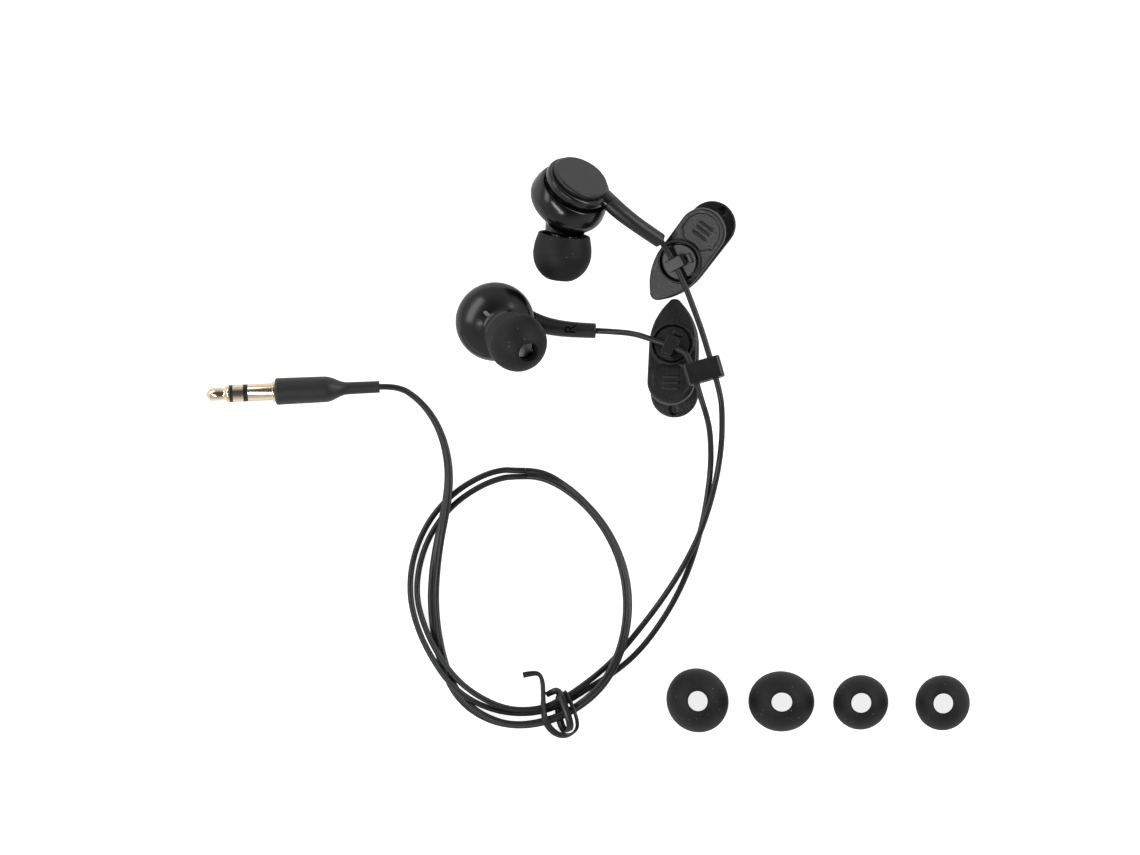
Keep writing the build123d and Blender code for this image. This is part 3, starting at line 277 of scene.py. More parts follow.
# %% Finishes by slot
# A moulded line gives two close colours, the roughness, how far it wanders, and the grain's size and height
# in millimetres. A metal has one colour, and last how much its marks are drawn out along each axis.
finishes = {
    # ABS from a polished mould: close to a mirror, so the domes carry long highlights
    "gloss_shell": moulded("gloss_abs", "060607", "0a0a0b", 0.2, 0.03, 0.6, 0.0006),
    # ABS from a finely blasted mould: satin on the caps, smoother and darker on the housings
    "satin_cap": moulded("satin_abs", "141415", "1a1a1b", 0.34, 0.04, 0.15, 0.003),
    "satin_housing": moulded("housing_abs", "0c0c0d", "121213", 0.2, 0.04, 0.3, 0.0015),
    # soft PVC over the cord's end: a dull skin that spreads every highlight
    "soft_boot": moulded("boot_pvc", "161617", "1d1d1e", 0.42, 0.05, 0.25, 0.006),
    # silicone: almost matt, and it holds dust
    "silicone": moulded("tip_silicone", "0a0a0b", "101011", 0.6, 0.05, 0.25, 0.008, ior=1.41, dust=0.56),
    # ABS from a textured mould: the clips glitter faintly. The grain is drawn coarser than a real mould's,
    # which would be too fine to show from this far away.
    "clip_plastic": moulded("clip_abs", "101011", "171718", 0.4, 0.05, 0.4, 0.08),
    "hook_plastic": moulded("hook_abs", "161617", "1d1d1e", 0.36, 0.05, 0.25, 0.008),
    # PVC moulded round the plug's end and drawn round the wires: one broad, soft line of light
    "plug_overmould": moulded("overmould_pvc", "1a1a1b", "222223", 0.48, 0.05, 0.3, 0.016),
    "cord_jacket": moulded("cord_pvc", "121213", "19191a", 0.38, 0.05, 0.3, 0.004),
    "tie_plastic": moulded("tie_pvc", "111112", "171718", 0.4, 0.06, 0.3, 0.006),
    # nylon rings and basket, polyester film and an epoxy board, nearly all of it hidden
    "insulator": moulded("insulator_nylon", "0c0c0c", "111111", 0.4, 0.04, 0.1, 0.002),
    "inner_plastic": moulded("basket_nylon", "2c2c2c", "343434", 0.6, 0.05, 0.1, 0.004),
    "clear_film": moulded("film_pet", "a8a69a", "b4b2a8", 0.25, 0.04, 0.5, 0.002, ior=1.57),
    "circuit_board": moulded("board_epoxy", "16402a", "1c4a30", 0.45, 0.05, 0.3, 0.004),
    # bare and plated metals: bright, with marks that run the way they were drawn or turned
    "steel_mesh": woven_mesh("steel_weave", "d8d8d6", 0.12),
    "steel_pin": metal("pin_steel", "b0aeaa", 0.32, 0.08, 0.2, 0.002),
    "driver_steel": metal("yoke_steel", "b8b8b6", 0.35, 0.08, 0.2, 0.002),
    "magnet": metal("magnet_nickel", "c4c1b8", 0.25, 0.05, 0.3, 0.001),
    "copper_wire": metal("coil_copper", "b8694a", 0.3, 0.06, 0.08, 0.008, (0.2, 0.2, 1)),
    "gold_plate": metal("gold_plating", "f0dcc2", 0.16, 0.05, 0.15, 0.0015, (1, 0.12, 0.12)),
}
record = frame["record"]
for subpart in record["subparts"]:
    mesh = nodes[subpart["node"]].data
    mesh.materials.clear()
    mesh.materials.append(finishes[subpart["material_slot"]])
print("finishes:", len(finishes))

# %% [markdown]
# ### Softened edges on the turned pieces
# No edge is knife sharp. A small bevel round the turned pieces' edges makes them catch a thin line of light.
# It is a modifier, so their own vertices stay as they are.

# %% Bevels on the turned pieces
EDGE_WIDTH = 0.05           # millimetres
WELD_GAP = 0.001            # corners closer than this are one corner, in millimetres
SHARP_EDGE = radians(50)    # an edge that turns by more than this is sharp


def soften(node, width):
    """Rounds a CAD node's sharp edges by a width in millimetres, without touching its own mesh."""
    piece = nodes[node]
    weld = piece.modifiers.new("weld", "WELD")
    weld.merge_threshold = WELD_GAP * MM
    bevel = piece.modifiers.new("soft_edges", "BEVEL")
    bevel.width = width * MM
    bevel.segments = 2
    bevel.limit_method = "ANGLE"
    bevel.angle_limit = SHARP_EDGE
    bevel.harden_normals = True


for node in ("left_back_cap", "right_back_cap", "plug_sleeve", "plug_tip"):
    soften(node, EDGE_WIDTH)

# %% [markdown]
# ## Meshes from sections
# The twin cord, the tie and the tool that cuts the vents are one idea: an outline carried along a line. A
# station is a place on the line with two directions across it, and the outline's points are set out in those
# two directions.

# %% Sweeping an outline along stations
def add_piece(name, mesh, finish, body=SET):
    piece = bpy.data.objects.new(name, mesh)
    bpy.context.scene.collection.objects.link(piece)
    mesh.materials.append(finishes[finish])
    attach(piece, body)
    return piece


def swept_mesh(name, stations, outline):
    """A closed mesh through stations (centre, across, up), each with the same outline of (u, v) points."""
    mesh = bpy.data.meshes.new(name)
    count = len(outline)
    points = [centre + across * u + up * v for centre, across, up in stations for u, v in outline]
    faces = [list(range(count))[::-1], list(range(len(points) - count, len(points)))]
    for ring in range(len(stations) - 1):
        for i in range(count):
            j = (i + 1) % count
            low = ring * count
            faces.append([low + i, low + j, low + count + j, low + count + i])
    mesh.from_pydata(points, [], faces)
    mesh.polygons.foreach_set("use_smooth", [True] * len(mesh.polygons))
    mesh.set_sharp_from_angle(angle=SHARP_EDGE)
    return mesh


# %% [markdown]
# ### A smooth line through given points
# A spline of the third order runs near its control points without kinks, like a cord that is laid down by
# hand. It is a NURBS curve. Blender's own evaluation of it gives the points that swept pieces follow.

# %% Spline curves
def spline_curve(name, route):
    """An open smooth curve controlled by points in millimetres."""
    data = bpy.data.curves.new(name, "CURVE")
    data.dimensions = "3D"
    data.resolution_u = 10
    spline = data.splines.new("NURBS")
    spline.points.add(len(route) - 1)
    for point, place in zip(spline.points, route):
        point.co = (*[value * MM for value in place], 1)
    spline.order_u = 3
    spline.use_endpoint_u = True
    return data


def line_points(curve_data):
    """The points of a curve's own line, read back from Blender."""
    carrier = bpy.data.objects.new("carrier", curve_data)
    line = bpy.data.meshes.new_from_object(carrier)
    points = [vertex.co.copy() for vertex in line.vertices]
    bpy.data.objects.remove(carrier)
    bpy.data.meshes.remove(line)
    return points


def travelled(points):
    """Distance along a line of points, at each of them."""
    distances = [0.0]
    for before, after in zip(points, points[1:]):
        distances.append(distances[-1] + (after - before).length)
    return distances


def between(table, value):
    """Straight-line interpolation in a table of (position, value) pairs."""
    if value <= table[0][0]:
        return table[0][1]
    for (low, first), (high, second) in zip(table, table[1:]):
        if value <= high:
            return first + (second - first) * (value - low) / (high - low)
    return table[-1][1]


# %% [markdown]
# ## The two single strands
# Each strand is a round PVC cord 1.2 mm across. A curve with a round bevel is the plainest way to make one.

# %% Strands
STRAND_RADIUS = 0.6 * MM


def strand(name, route):
    data = spline_curve(name, route)
    length = travelled(line_points(data))[-1]
    data.bevel_depth = STRAND_RADIUS
    data.bevel_resolution = 6
    data.use_fill_caps = True
    data.materials.append(finishes["cord_jacket"])
    piece = bpy.data.objects.new(name, data)
    bpy.context.scene.collection.objects.link(piece)
    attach(piece, SET)
    print(name, round(length / MM, 1), "mm")
    return piece


right_strand = strand("right_strand", RIGHT_ROUTE)
left_strand = strand("left_strand", LEFT_ROUTE)
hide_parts("right_cord")
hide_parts("left_cord")

# %% [markdown]
# ## The twin cord
# Where the strands are still joined they make a flat ribbon, 2.4 mm by 1.2 mm, with a groove down each side.
# It is never quite flat on the table: it rolls slowly from edge to face and back, and that changing width is
# what makes it read as a ribbon. The outline is two circles with a thin web, rolled a bit more or less at
# each station, and lifted so that it lies on the table at every roll.

# %% Ribbon rolled along its line
ROUTE_REST = 0.88 * MM      # height that the route gives a cord's middle on the table
PLUG_STRETCH = 12 * MM      # from the plug on, the ribbon settles to its own height over this length
# distance from the plug in millimetres, and roll in degrees: 0 lies flat and 90 stands on edge
RIBBON_ROLL = [(0, 90), (10, 84), (22, 66), (35, 48), (50, 12), (60, 25), (69, 48), (83, 72), (100, 60),
               (124, 54), (144, 66), (150, 52), (158, 6)]


def ribbon_outline():
    """Half the outline is one strand's outer arc, and the other half is its mirror image."""
    points = []
    for side in (1, -1):
        for step in range(11):
            turn = radians(-150 + 30 * step)
            u = STRAND_RADIUS + STRAND_RADIUS * cos(turn)
            points.append((side * u, side * STRAND_RADIUS * sin(turn)))
    return points


twin_line = line_points(spline_curve("twin_line", TWIN_ROUTE))
stations = []
for i, (point, distance) in enumerate(zip(twin_line, travelled(twin_line))):
    along = (twin_line[min(i + 1, len(twin_line) - 1)] - twin_line[max(i - 1, 0)]).normalized()
    level = Vector((0, 0, 1)).cross(along).normalized()
    upright = along.cross(level)
    roll = radians(between(RIBBON_ROLL, distance / MM))
    half_height = STRAND_RADIUS * (1 + sin(roll))
    lift = (half_height - ROUTE_REST) * min(1, distance / PLUG_STRETCH)
    centre = point + Vector((0, 0, lift))
    width_way = level * cos(roll) + upright * sin(roll)
    stations.append((centre, width_way, upright * cos(roll) - level * sin(roll)))
twin_cord = add_piece("twin_cord", swept_mesh("twin_cord", stations, ribbon_outline()), "cord_jacket")
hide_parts("main_cord")

# %% [markdown]
# ## Silicone ear tips
# An ear tip is a soft mushroom: a skirt that seals the ear, round a tube that grips the nozzle. It is
# injection moulded, so a fine parting line runs round its widest part. A turned mesh suits it, with a little
# oval squeeze and a slow ripple, because silicone this thin is never truly round.

# %% Turned meshes
def turned_mesh(name, outline, place, turns=128, squeeze=None):
    """A mesh turned about a place's own z axis from a closed outline of (radius, height) in millimetres."""
    mesh = bpy.data.meshes.new(name)
    count = len(outline)
    points = []
    for step in range(turns):
        angle = 2 * pi * step / turns
        for radius, height in outline:
            point = Vector((radius * cos(angle), radius * sin(angle), height))
            points.append(place @ ((squeeze(point) if squeeze else point) * MM))
    faces = []
    for step in range(turns):
        low = step * count
        high = (step + 1) % turns * count
        for i in range(count):
            j = (i + 1) % count
            faces.append([low + i, high + i, high + j, low + j])
    mesh.from_pydata(points, [], faces)
    mesh.polygons.foreach_set("use_smooth", [True] * len(mesh.polygons))
    return mesh


def arc(centre, radius, start, end, steps):
    """Points on an arc, angles in degrees."""
    angles = [radians(start + (end - start) * step / steps) for step in range(steps + 1)]
    return [(centre[0] + radius * cos(angle), centre[1] + radius * sin(angle)) for angle in angles]


def place_matrix(origin, z_dir, x_hint=Vector((1, 0, 0))):
    """A placement whose z axis is z_dir and whose x axis leans towards x_hint."""
    z_axis = Vector(z_dir).normalized()
    x_axis = (x_hint - z_axis * x_hint.dot(z_axis)).normalized()
    y_axis = z_axis.cross(x_axis)
    turn = Matrix((x_axis, y_axis, z_axis)).transposed().to_4x4()
    return Matrix.Translation(origin) @ turn


# %% Ear tip outline, in millimetres
TIP_WALL = 0.6              # of the skirt
TIP_BORE = 2.0              # radius of the hole at the far end
NOZZLE_BORE = 2.8           # radius of the hole that grips the nozzle
CORE_RADIUS = 3.5
CORE_START = 2.5            # above the rim
TIP_STEP = 1.9              # length of the narrow hole
RIM_SHARE = 0.898           # the rim's radius as a share of the widest
RIM_EDGE = 0.3              # its rounding


def tip_outline(radius, length):
    """Closed half section of an ear tip: up the outside, down the bore and back inside the skirt."""
    lip = TIP_BORE + 0.5
    widest = length - sqrt(radius**2 - lip**2)
    rim = radius * RIM_SHARE
    inner = radius - TIP_WALL
    core_top = widest + sqrt(inner**2 - CORE_RADIUS**2)
    side = [(rim + (radius - rim) * sin(radians(90 * k / 6)), RIM_EDGE + (widest - 0.45) * k / 6)
            for k in range(1, 6)]
    top_angle = degrees(atan2(length - widest, lip))
    dome = arc((0, widest), radius, 3, top_angle - 3, 22)
    outline = arc((rim - RIM_EDGE, RIM_EDGE), RIM_EDGE, -90, 0, 4) + side
    outline += [(radius, widest - 0.12), (radius + 0.03, widest - 0.04), (radius + 0.03, widest + 0.04)]
    outline += dome
    outline += [(2.42, length - 0.03), (2.3, length + 0.01), (2.16, length - 0.01), (2.05, length - 0.09)]
    outline += [(TIP_BORE, length - 0.25), (TIP_BORE, length - 1.0), (TIP_BORE, length - TIP_STEP + 0.1)]
    outline += [(TIP_BORE + 0.1, length - TIP_STEP), (NOZZLE_BORE - 0.1, length - TIP_STEP)]
    outline += [(NOZZLE_BORE, length - TIP_STEP - 0.15), (NOZZLE_BORE, CORE_START + 0.2)]
    outline += [(NOZZLE_BORE + 0.2, CORE_START), (CORE_RADIUS - 0.2, CORE_START)]
    outline += [(CORE_RADIUS, CORE_START + 0.2), (CORE_RADIUS, core_top - 0.4)]
    outline += [(CORE_RADIUS + 0.15, core_top - 0.12)]
    outline += arc((0, widest), inner, degrees(atan2(core_top - widest, CORE_RADIUS + 0.3)), 0, 14)
    outline += [(rim + (inner - rim) * 0.6 - 0.25, widest * 0.45), (rim - TIP_WALL, RIM_EDGE)]
    return outline


RIPPLE = 0.006              # height of the ripple as a share of the radius
RIPPLE_SCALE = 0.25         # cells of noise per millimetre


def ear_tip(name, place, radius, length, oval, oval_turn, seed, body, node):
    """One tip, squeezed to an oval and rippled a little, in place of its CAD solid."""
    lean = Matrix.Rotation(radians(oval_turn), 3, "Z")

    def squeeze(point):
        turned = lean.inverted() @ point
        turned.x *= 1 + oval
        turned.y *= 1 - oval
        spot = Vector((point.x * RIPPLE_SCALE, point.y * RIPPLE_SCALE, point.z * RIPPLE_SCALE + seed))
        ripple = 1 + RIPPLE * noise.noise(spot)
        soft = lean @ turned
        return Vector((soft.x * ripple, soft.y * ripple, point.z))

    mesh = turned_mesh(name, tip_outline(radius, length), place, squeeze=squeeze)
    mesh.set_sharp_from_angle(angle=radians(60))
    tip = add_piece(name, mesh, "silicone", body)
    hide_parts(node)


# %% Spare tips on the table
SEED_STEP = 7               # gives each tip a ripple of its own
SPARES = {
    # radius and length in millimetres, oval squeeze, and its direction in degrees
    "spare_tip_large_1": (6.35, 9.8, 0.028, -62),
    "spare_tip_large_2": (6.35, 9.8, 0.045, -4),
    "spare_tip_small_1": (5.5, 8.7, 0.008, 20),
    "spare_tip_small_2": (5.5, 8.7, 0.006, 70),
}
for seed, (node, (radius, length, oval, oval_turn)) in enumerate(SPARES.items()):
    low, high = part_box(node)
    foot = Vector(((low[0] + high[0]) / 2, (low[1] + high[1]) / 2, low[2]))
    place = place_matrix(foot, (0, 0, 1))
    ear_tip(f"loose_{node}", place, radius, length, oval, oval_turn, SEED_STEP * seed, SET, node)
print("spare tips:", len(SPARES))

# %% Tips on the two earphones
TIP_START = 7.0             # from the shell's pivot along the nozzle, in millimetres
WORN_TIP = (5.9, 9.3, 0.006, 30)    # the same four values as a spare tip's
nozzles = {}
for side, seed in (("left", 31), ("right", 47)):
    pull = joints[f"{side}_ear_tip_pull"]
    nozzles[side] = (Vector(pull["pos_m"]), Vector(pull["axis"]).normalized())
    pivot, along = nozzles[side]
    place = place_matrix(pivot + along * TIP_START * MM, along, Vector((0, 0, 1)))
    ear_tip(f"{side}_silicone_tip", place, *WORN_TIP, seed, f"{side}_ear_tip", f"{side}_ear_tip")
print("worn tips:", len(nozzles))

# %% [markdown]
# ## Front shells
# The glossy front shell is a dome that flows into a slanted neck. Both forms are round about an axis through
# the same point, so the shell can be made like a globe: from that point a ray goes out in every direction,
# and the surface stands where the ray leaves the dome or the neck, whichever is farther. A soft maximum of
# the two distances makes the flowing fillet that a mirror finish would otherwise show as a crease.

# %% Distances to the dome and to the neck, in millimetres from the pivot
SHELL_RADIUS = 7.9          # widest part, level with the pivot
DOME_HEIGHT = 5.2
DOME_CORNER = 3.6           # radius of the dome's shoulder
SHELL_REAR = -3.1           # rear rim
NECK_RADIUS = 3.9
NECK_END = 6.8
NECK_ROUNDING = 0.35
LEAST_SLOPE = 0.05          # keeps the distances finite along the neck and across it
crown = (SHELL_RADIUS - DOME_CORNER)**2 + DOME_HEIGHT**2 - DOME_CORNER**2
crown /= 2 * (DOME_HEIGHT - DOME_CORNER)
corner_turn = atan2(crown - DOME_HEIGHT, SHELL_RADIUS - DOME_CORNER)
print("crown radius:", round(crown, 2), "mm")


def circle_reach(ray, centre, radius):
    """Distance along a ray from the pivot to the far side of a circle."""
    along = ray[0] * centre[0] + ray[1] * centre[1]
    across = centre[0]**2 + centre[1]**2 - along**2
    return along + sqrt(max(0.0, radius**2 - across))


def dome_reach(polar):
    """Distance from the pivot to the dome along a ray at an angle from the dome's axis."""
    ray = (sin(polar), cos(polar))
    shoulder = (SHELL_RADIUS - DOME_CORNER, 0)
    reach = circle_reach(ray, shoulder, DOME_CORNER)
    if atan2(ray[1] * reach - shoulder[1], ray[0] * reach - shoulder[0]) <= corner_turn:
        return reach
    return circle_reach(ray, (0, DOME_HEIGHT - crown), crown)


def soft_max(first, second, blend):
    """The larger of two values, with the step between them rounded off."""
    return (first + second + sqrt((first - second)**2 + blend**2)) / 2


def neck_reach(polar):
    """The same for the neck, about the nozzle's axis: a cylinder with a rounded end."""
    side = NECK_RADIUS / max(sin(polar), LEAST_SLOPE)
    end = NECK_END / max(cos(polar), LEAST_SLOPE)
    return -soft_max(-side, -end, NECK_ROUNDING)


# %% The shell's mesh
NECK_FILLET = 0.9           # how far the dome and the neck flow into each other
POLE = 0.002                # angle of the first ring, just off the axis
# radius and height from the pivot: down the skirt, round the rear rim, and up the inside
SHELL_SKIRT = [(7.9, -0.4), (7.86, -0.9), (7.78, -1.4), (7.66, -1.9), (7.5, -2.4), (7.28, -2.85),
               (7.15, -3.05), (7.0, SHELL_REAR), (6.3, SHELL_REAR), (6.1, SHELL_REAR + 0.1), (6.1, 0.0),
               (5.6, 2.2), (3.0, 3.6), (0.4, 3.7)]


def shell_mesh(name, pivot, axis, nozzle, rows=110, turns=240):
    """Outer surface from the ray distances, a flat rear rim, and an inner surface one wall inside."""
    place = place_matrix(pivot, axis, nozzle)
    local_nozzle = (place.to_3x3().inverted() @ nozzle).normalized()
    rings = []
    for row in range(rows + 1):
        polar = max(radians(90) * row / rows, POLE)
        ring = []
        for step in range(turns):
            angle = 2 * pi * step / turns
            ray = Vector((sin(polar) * cos(angle), sin(polar) * sin(angle), cos(polar)))
            tilt = acos(min(1, max(-1, ray.dot(local_nozzle))))
            ring.append(ray * soft_max(dome_reach(polar), neck_reach(tilt), NECK_FILLET))
        rings.append(ring)
    for radius, height in SHELL_SKIRT:
        rings.append([Vector((radius * cos(2 * pi * k / turns), radius * sin(2 * pi * k / turns), height))
                      for k in range(turns)])
    points = [place @ (point * MM) for ring in rings for point in ring]
    faces = [list(range(turns)), [len(points) - 1 - k for k in range(turns)]]
    for ring in range(len(rings) - 1):
        for k in range(turns):
            j = (k + 1) % turns
            low = ring * turns
            faces.append([low + k, low + turns + k, low + turns + j, low + j])
    mesh = bpy.data.meshes.new(name)
    mesh.from_pydata(points, [], faces)
    mesh.polygons.foreach_set("use_smooth", [True] * len(mesh.polygons))
    return mesh


# %% Both front shells, with the nozzle tube and the vent slot cut through
VENT_OFFSET = 2.15          # from the dome's axis, away from the nozzle, in millimetres
VENT_RADIUS = 0.45
VENT_STRAIGHT = 0.4         # half the straight part of the slot's sides
VENT_DEPTH = 1.2            # the cutter's reach above and below the surface
# radius and distance from the pivot
NOZZLE_OUTLINE = [(1.7, 5.5), (2.6, 5.5), (2.75, 5.7), (2.75, 13.7), (2.6, 13.9), (2.1, 13.9), (2.05, 13.85),
                  (2.05, 13.3), (1.7, 13.3)]


def slot_cutter(name, centre, normal, along):
    """A stadium-shaped prism, 1.7 by 0.9 mm, that cuts the vent."""
    place = place_matrix(centre, normal, along)
    outline = [(x + VENT_STRAIGHT, y) for x, y in arc((0, 0), VENT_RADIUS, -90, 90, 12)]
    outline += [(x - VENT_STRAIGHT, y) for x, y in arc((0, 0), VENT_RADIUS, 90, 270, 12)]
    stations = [(place @ Vector((0, 0, height * MM)), place.to_3x3() @ Vector((MM, 0, 0)),
                 place.to_3x3() @ Vector((0, MM, 0))) for height in (-VENT_DEPTH, VENT_DEPTH)]
    cutter = bpy.data.objects.new(name, swept_mesh(name, stations, outline))
    bpy.context.scene.collection.objects.link(cutter)
    return cutter


def cut(piece, cutter):
    """Cuts one object out of another, for good, and removes the cutter."""
    difference = piece.modifiers.new("cut", "BOOLEAN")
    difference.operation = "DIFFERENCE"
    difference.solver = "EXACT"
    difference.object = cutter
    shaped = bpy.data.meshes.new_from_object(piece.evaluated_get(bpy.context.evaluated_depsgraph_get()))
    piece.modifiers.remove(difference)
    piece.data = shaped
    bpy.data.objects.remove(cutter)


def disc_centre(node):
    """Centre of a turned CAD node."""
    low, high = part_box(node)
    return (Vector(low) + Vector(high)) / 2


shell_axes = {}
for side in ("left", "right"):
    pivot, nozzle = nozzles[side]
    axis = (pivot - disc_centre(f"{side}_driver_magnet")).normalized()
    shell_axes[side] = axis
    shell = add_piece(f"{side}_shell", shell_mesh(f"{side}_shell", pivot, axis, nozzle), "gloss_shell")
    away = (nozzle - axis * nozzle.dot(axis)).normalized() * -1
    rise = DOME_HEIGHT - crown + sqrt(crown**2 - VENT_OFFSET**2)
    vent = pivot + (away * VENT_OFFSET + axis * rise) * MM
    cut(shell, slot_cutter(f"{side}_vent_cutter", vent, axis, away))
    shell.data.set_sharp_from_angle(angle=radians(40))
    tube = turned_mesh(f"{side}_nozzle_tube", NOZZLE_OUTLINE, place_matrix(pivot, nozzle, axis), 96)
    tube.set_sharp_from_angle(angle=radians(40))
    add_piece(f"{side}_nozzle_tube", tube, "gloss_shell")
    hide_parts(f"{side}_front_shell")
    print(side, "shell faces:", len(shell.data.polygons))

# %% [markdown]
# ## Boots
# The soft PVC boots taper along the arm and carry the side marks, R and L, pressed into them. The CAD boot is
# copied, remeshed finely and smoothed, which takes away its facets. Then a letter is cut into it.

# %% Soft boots with side marks
def fine_copy(name, node, voxel, rounds):
    """A finely remeshed and smoothed copy of a CAD node's mesh."""
    copy = bpy.data.objects.new(name, nodes[node].data.copy())
    bpy.context.scene.collection.objects.link(copy)
    remesh = copy.modifiers.new("remesh", "REMESH")
    remesh.mode = "VOXEL"
    remesh.voxel_size = voxel * MM
    smooth = copy.modifiers.new("smooth", "SMOOTH")
    smooth.factor = 0.5
    smooth.iterations = rounds
    mesh = bpy.data.meshes.new_from_object(copy.evaluated_get(bpy.context.evaluated_depsgraph_get()))
    bpy.data.objects.remove(copy)
    mesh.name = name
    mesh.materials.clear()
    mesh.polygons.foreach_set("use_smooth", [True] * len(mesh.polygons))
    return mesh


def letter_cutter(text, place, size, depth):
    """A letter's solid, centred on a placement, that reaches a little above and below it."""
    data = bpy.data.curves.new("letter", "FONT")
    data.body = text
    data.size = size * MM
    data.extrude = depth * MM
    data.align_x = "CENTER"
    data.align_y = "CENTER"
    carrier = bpy.data.objects.new("letter", data)
    solid = bpy.data.meshes.new_from_object(carrier)
    bpy.data.objects.remove(carrier)
    solid.transform(place)
    cutter = bpy.data.objects.new("letter_cutter", solid)
    bpy.context.scene.collection.objects.link(cutter)
    return cutter


BOOT_VOXEL = 0.11           # millimetres
BOOT_ROUNDS = 6             # of smoothing
MARK_SHARE = 0.62           # place of the mark along the boot
MARK_SIZE = 3.3             # gives a capital letter 2.3 mm high
MARK_DEPTH = 0.65           # the letter's reach above and below its middle, in millimetres
MARK_SINK = 0.2 * MM        # the letter's middle lies this deep under the boot's highest line
SLICE = 0.3 * MM            # half the length of boot that is measured round the mark
for side, mark in (("right", "R"), ("left", "L")):
    boot_mesh = fine_copy(f"{side}_boot", f"{side}_strain_relief", BOOT_VOXEL, BOOT_ROUNDS)
    boot = add_piece(f"{side}_boot", boot_mesh, "soft_boot")
    low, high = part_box(f"{side}_strain_relief")
    middle = (Vector(low) + Vector(high)) / 2
    arm = (middle - disc_centre(f"{side}_back_cap")).normalized()
    reach = [(vertex.co - middle).dot(arm) for vertex in boot.data.vertices]
    marked = min(reach) + MARK_SHARE * (max(reach) - min(reach))
    slice_points = [v.co for v, along in zip(boot.data.vertices, reach) if abs(along - marked) < SLICE]
    core = sum(slice_points, Vector()) / len(slice_points)
    facing = shell_axes[side]
    facing = (facing - arm * facing.dot(arm)).normalized()
    outside = max((point - core).dot(facing) for point in slice_points)
    surface = place_matrix(core + facing * (outside - MARK_SINK), facing, arm.cross(facing) * -1)
    cut(boot, letter_cutter(mark, surface, MARK_SIZE, MARK_DEPTH))
    boot.data.set_sharp_from_angle(angle=radians(45))
    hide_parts(f"{side}_strain_relief")
    print(side, "boot faces:", len(boot.data.polygons))

# %% [markdown]
# ## Clips, hooks and slider
# These are moulded from hard plastic, but their edges are still a tenth or two of a millimetre round. Each
# CAD mesh is copied, remeshed finely and smoothed for a few rounds, which rounds every edge and corner alike
# and leaves the flats flat. A bevel would draw lines across the flats, since a CAD mesh is all triangles.

# %% Rounded copies of the hard pieces
bodies = {node: body for body, members in record["behaviour"]["bodies"].items() for node in members}
ROUNDED = {
    # voxel size in millimetres, rounds of smoothing, and finish
    "clip_upper_jaw": (0.1, 5, "clip_plastic"),
    "clip_lower_jaw": (0.1, 5, "clip_plastic"),
    "cable_hook": (0.08, 3, "hook_plastic"),
}
pieces = {f"{side}_{part}": look for side in ("left", "right") for part, look in ROUNDED.items()}
pieces["cord_slider"] = (0.08, 3, "hook_plastic")
for node, (voxel, rounds, finish) in pieces.items():
    name = f"{node}_moulding"
    moulding = add_piece(name, fine_copy(name, node, voxel, rounds), finish, bodies[node])
    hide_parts(node)
    print(node, "faces:", len(moulding.data.polygons))

# %% [markdown]
# ## The twist tie
# A twist tie is a flat plastic strip with a wire inside, so it keeps every bend. It goes round the loop twice
# and ends in two tails. The strip is swept along a given line, and a second line gives the direction
# of its width, so that it can lie flat in one place and stand on edge in the next.

# %% Tie strip
TIE_ROUTE = [
    # centre of the strip, then the direction its width points in
    ((-38.3, -46.5, 0.8), (0.1, 0.8, 0.6)), ((-36.4, -46.1, 0.8), (0.0, 0.7, 0.7)),
    ((-34.9, -46.2, 0.9), (0.3, 0.4, 0.85)), ((-34.3, -48.0, 1.5), (0.5, 0.0, 0.85)),
    ((-34.2, -50.4, 3.1), (0.5, 0.0, 0.85)), ((-34.2, -53.6, 3.8), (0.7, 0.1, 0.7)),
    ((-33.6, -56.2, 2.9), (0.85, 0.5, 0.3)), ((-32.2, -58.0, 1.6), (0.7, 0.65, 0.4)),
    ((-30.4, -58.8, 1.0), (0.3, 0.8, 0.6)), ((-28.4, -58.5, 1.1), (0.2, 0.3, 0.9)),
    ((-27.3, -57.1, 2.2), (0.3, 0.1, 0.95)), ((-27.4, -55.2, 3.4), (0.35, 0.1, 0.92)),
    ((-28.4, -52.4, 3.8), (0.35, 0.1, 0.92)), ((-29.6, -50.2, 2.6), (0.5, 0.2, 0.8)),
    ((-30.7, -50.0, 1.0), (0.9, 0.1, 0.4)), ((-31.2, -52.0, 0.3), (1.0, 0.0, 0.0)),
    ((-31.0, -55.2, 0.3), (1.0, 0.0, 0.0)), ((-30.2, -57.6, 0.6), (0.9, 0.3, 0.3)),
    ((-28.9, -57.8, 2.0), (0.95, 0.3, 0.1)), ((-28.7, -56.2, 3.6), (0.95, 0.35, 0.0)),
    ((-29.6, -53.4, 4.2), (0.95, 0.35, 0.0)), ((-30.6, -50.6, 3.6), (0.9, 0.4, 0.2)),
    ((-31.3, -49.6, 2.3), (0.5, 0.8, 0.5)), ((-32.4, -49.8, 1.7), (0.1, 0.8, 0.6)),
    ((-33.6, -50.5, 1.6), (0.1, 0.8, 0.6)),
]
TIE_WIDTH = 1.5             # these five in millimetres
TIE_THICKNESS = 0.32
RIDGE_FOOT = 0.35           # half width of the wire's ridge where it leaves the strip
RIDGE_TOP = 0.16            # and at its top
RIDGE_HEIGHT = 0.12


def tie_outline():
    """Flat strip with the wire's ridge down its middle on both faces."""
    half = TIE_WIDTH / 2
    thin = TIE_THICKNESS / 2
    top = thin + RIDGE_HEIGHT
    ridge = [(-half, 0), (-half + 0.1, thin), (-RIDGE_FOOT, thin), (-RIDGE_TOP, top), (RIDGE_TOP, top),
             (RIDGE_FOOT, thin), (half - 0.1, thin), (half, 0)]
    under = [(u, -v) for u, v in ridge[1:-1]][::-1]
    return [(u * MM, v * MM) for u, v in ridge + under]


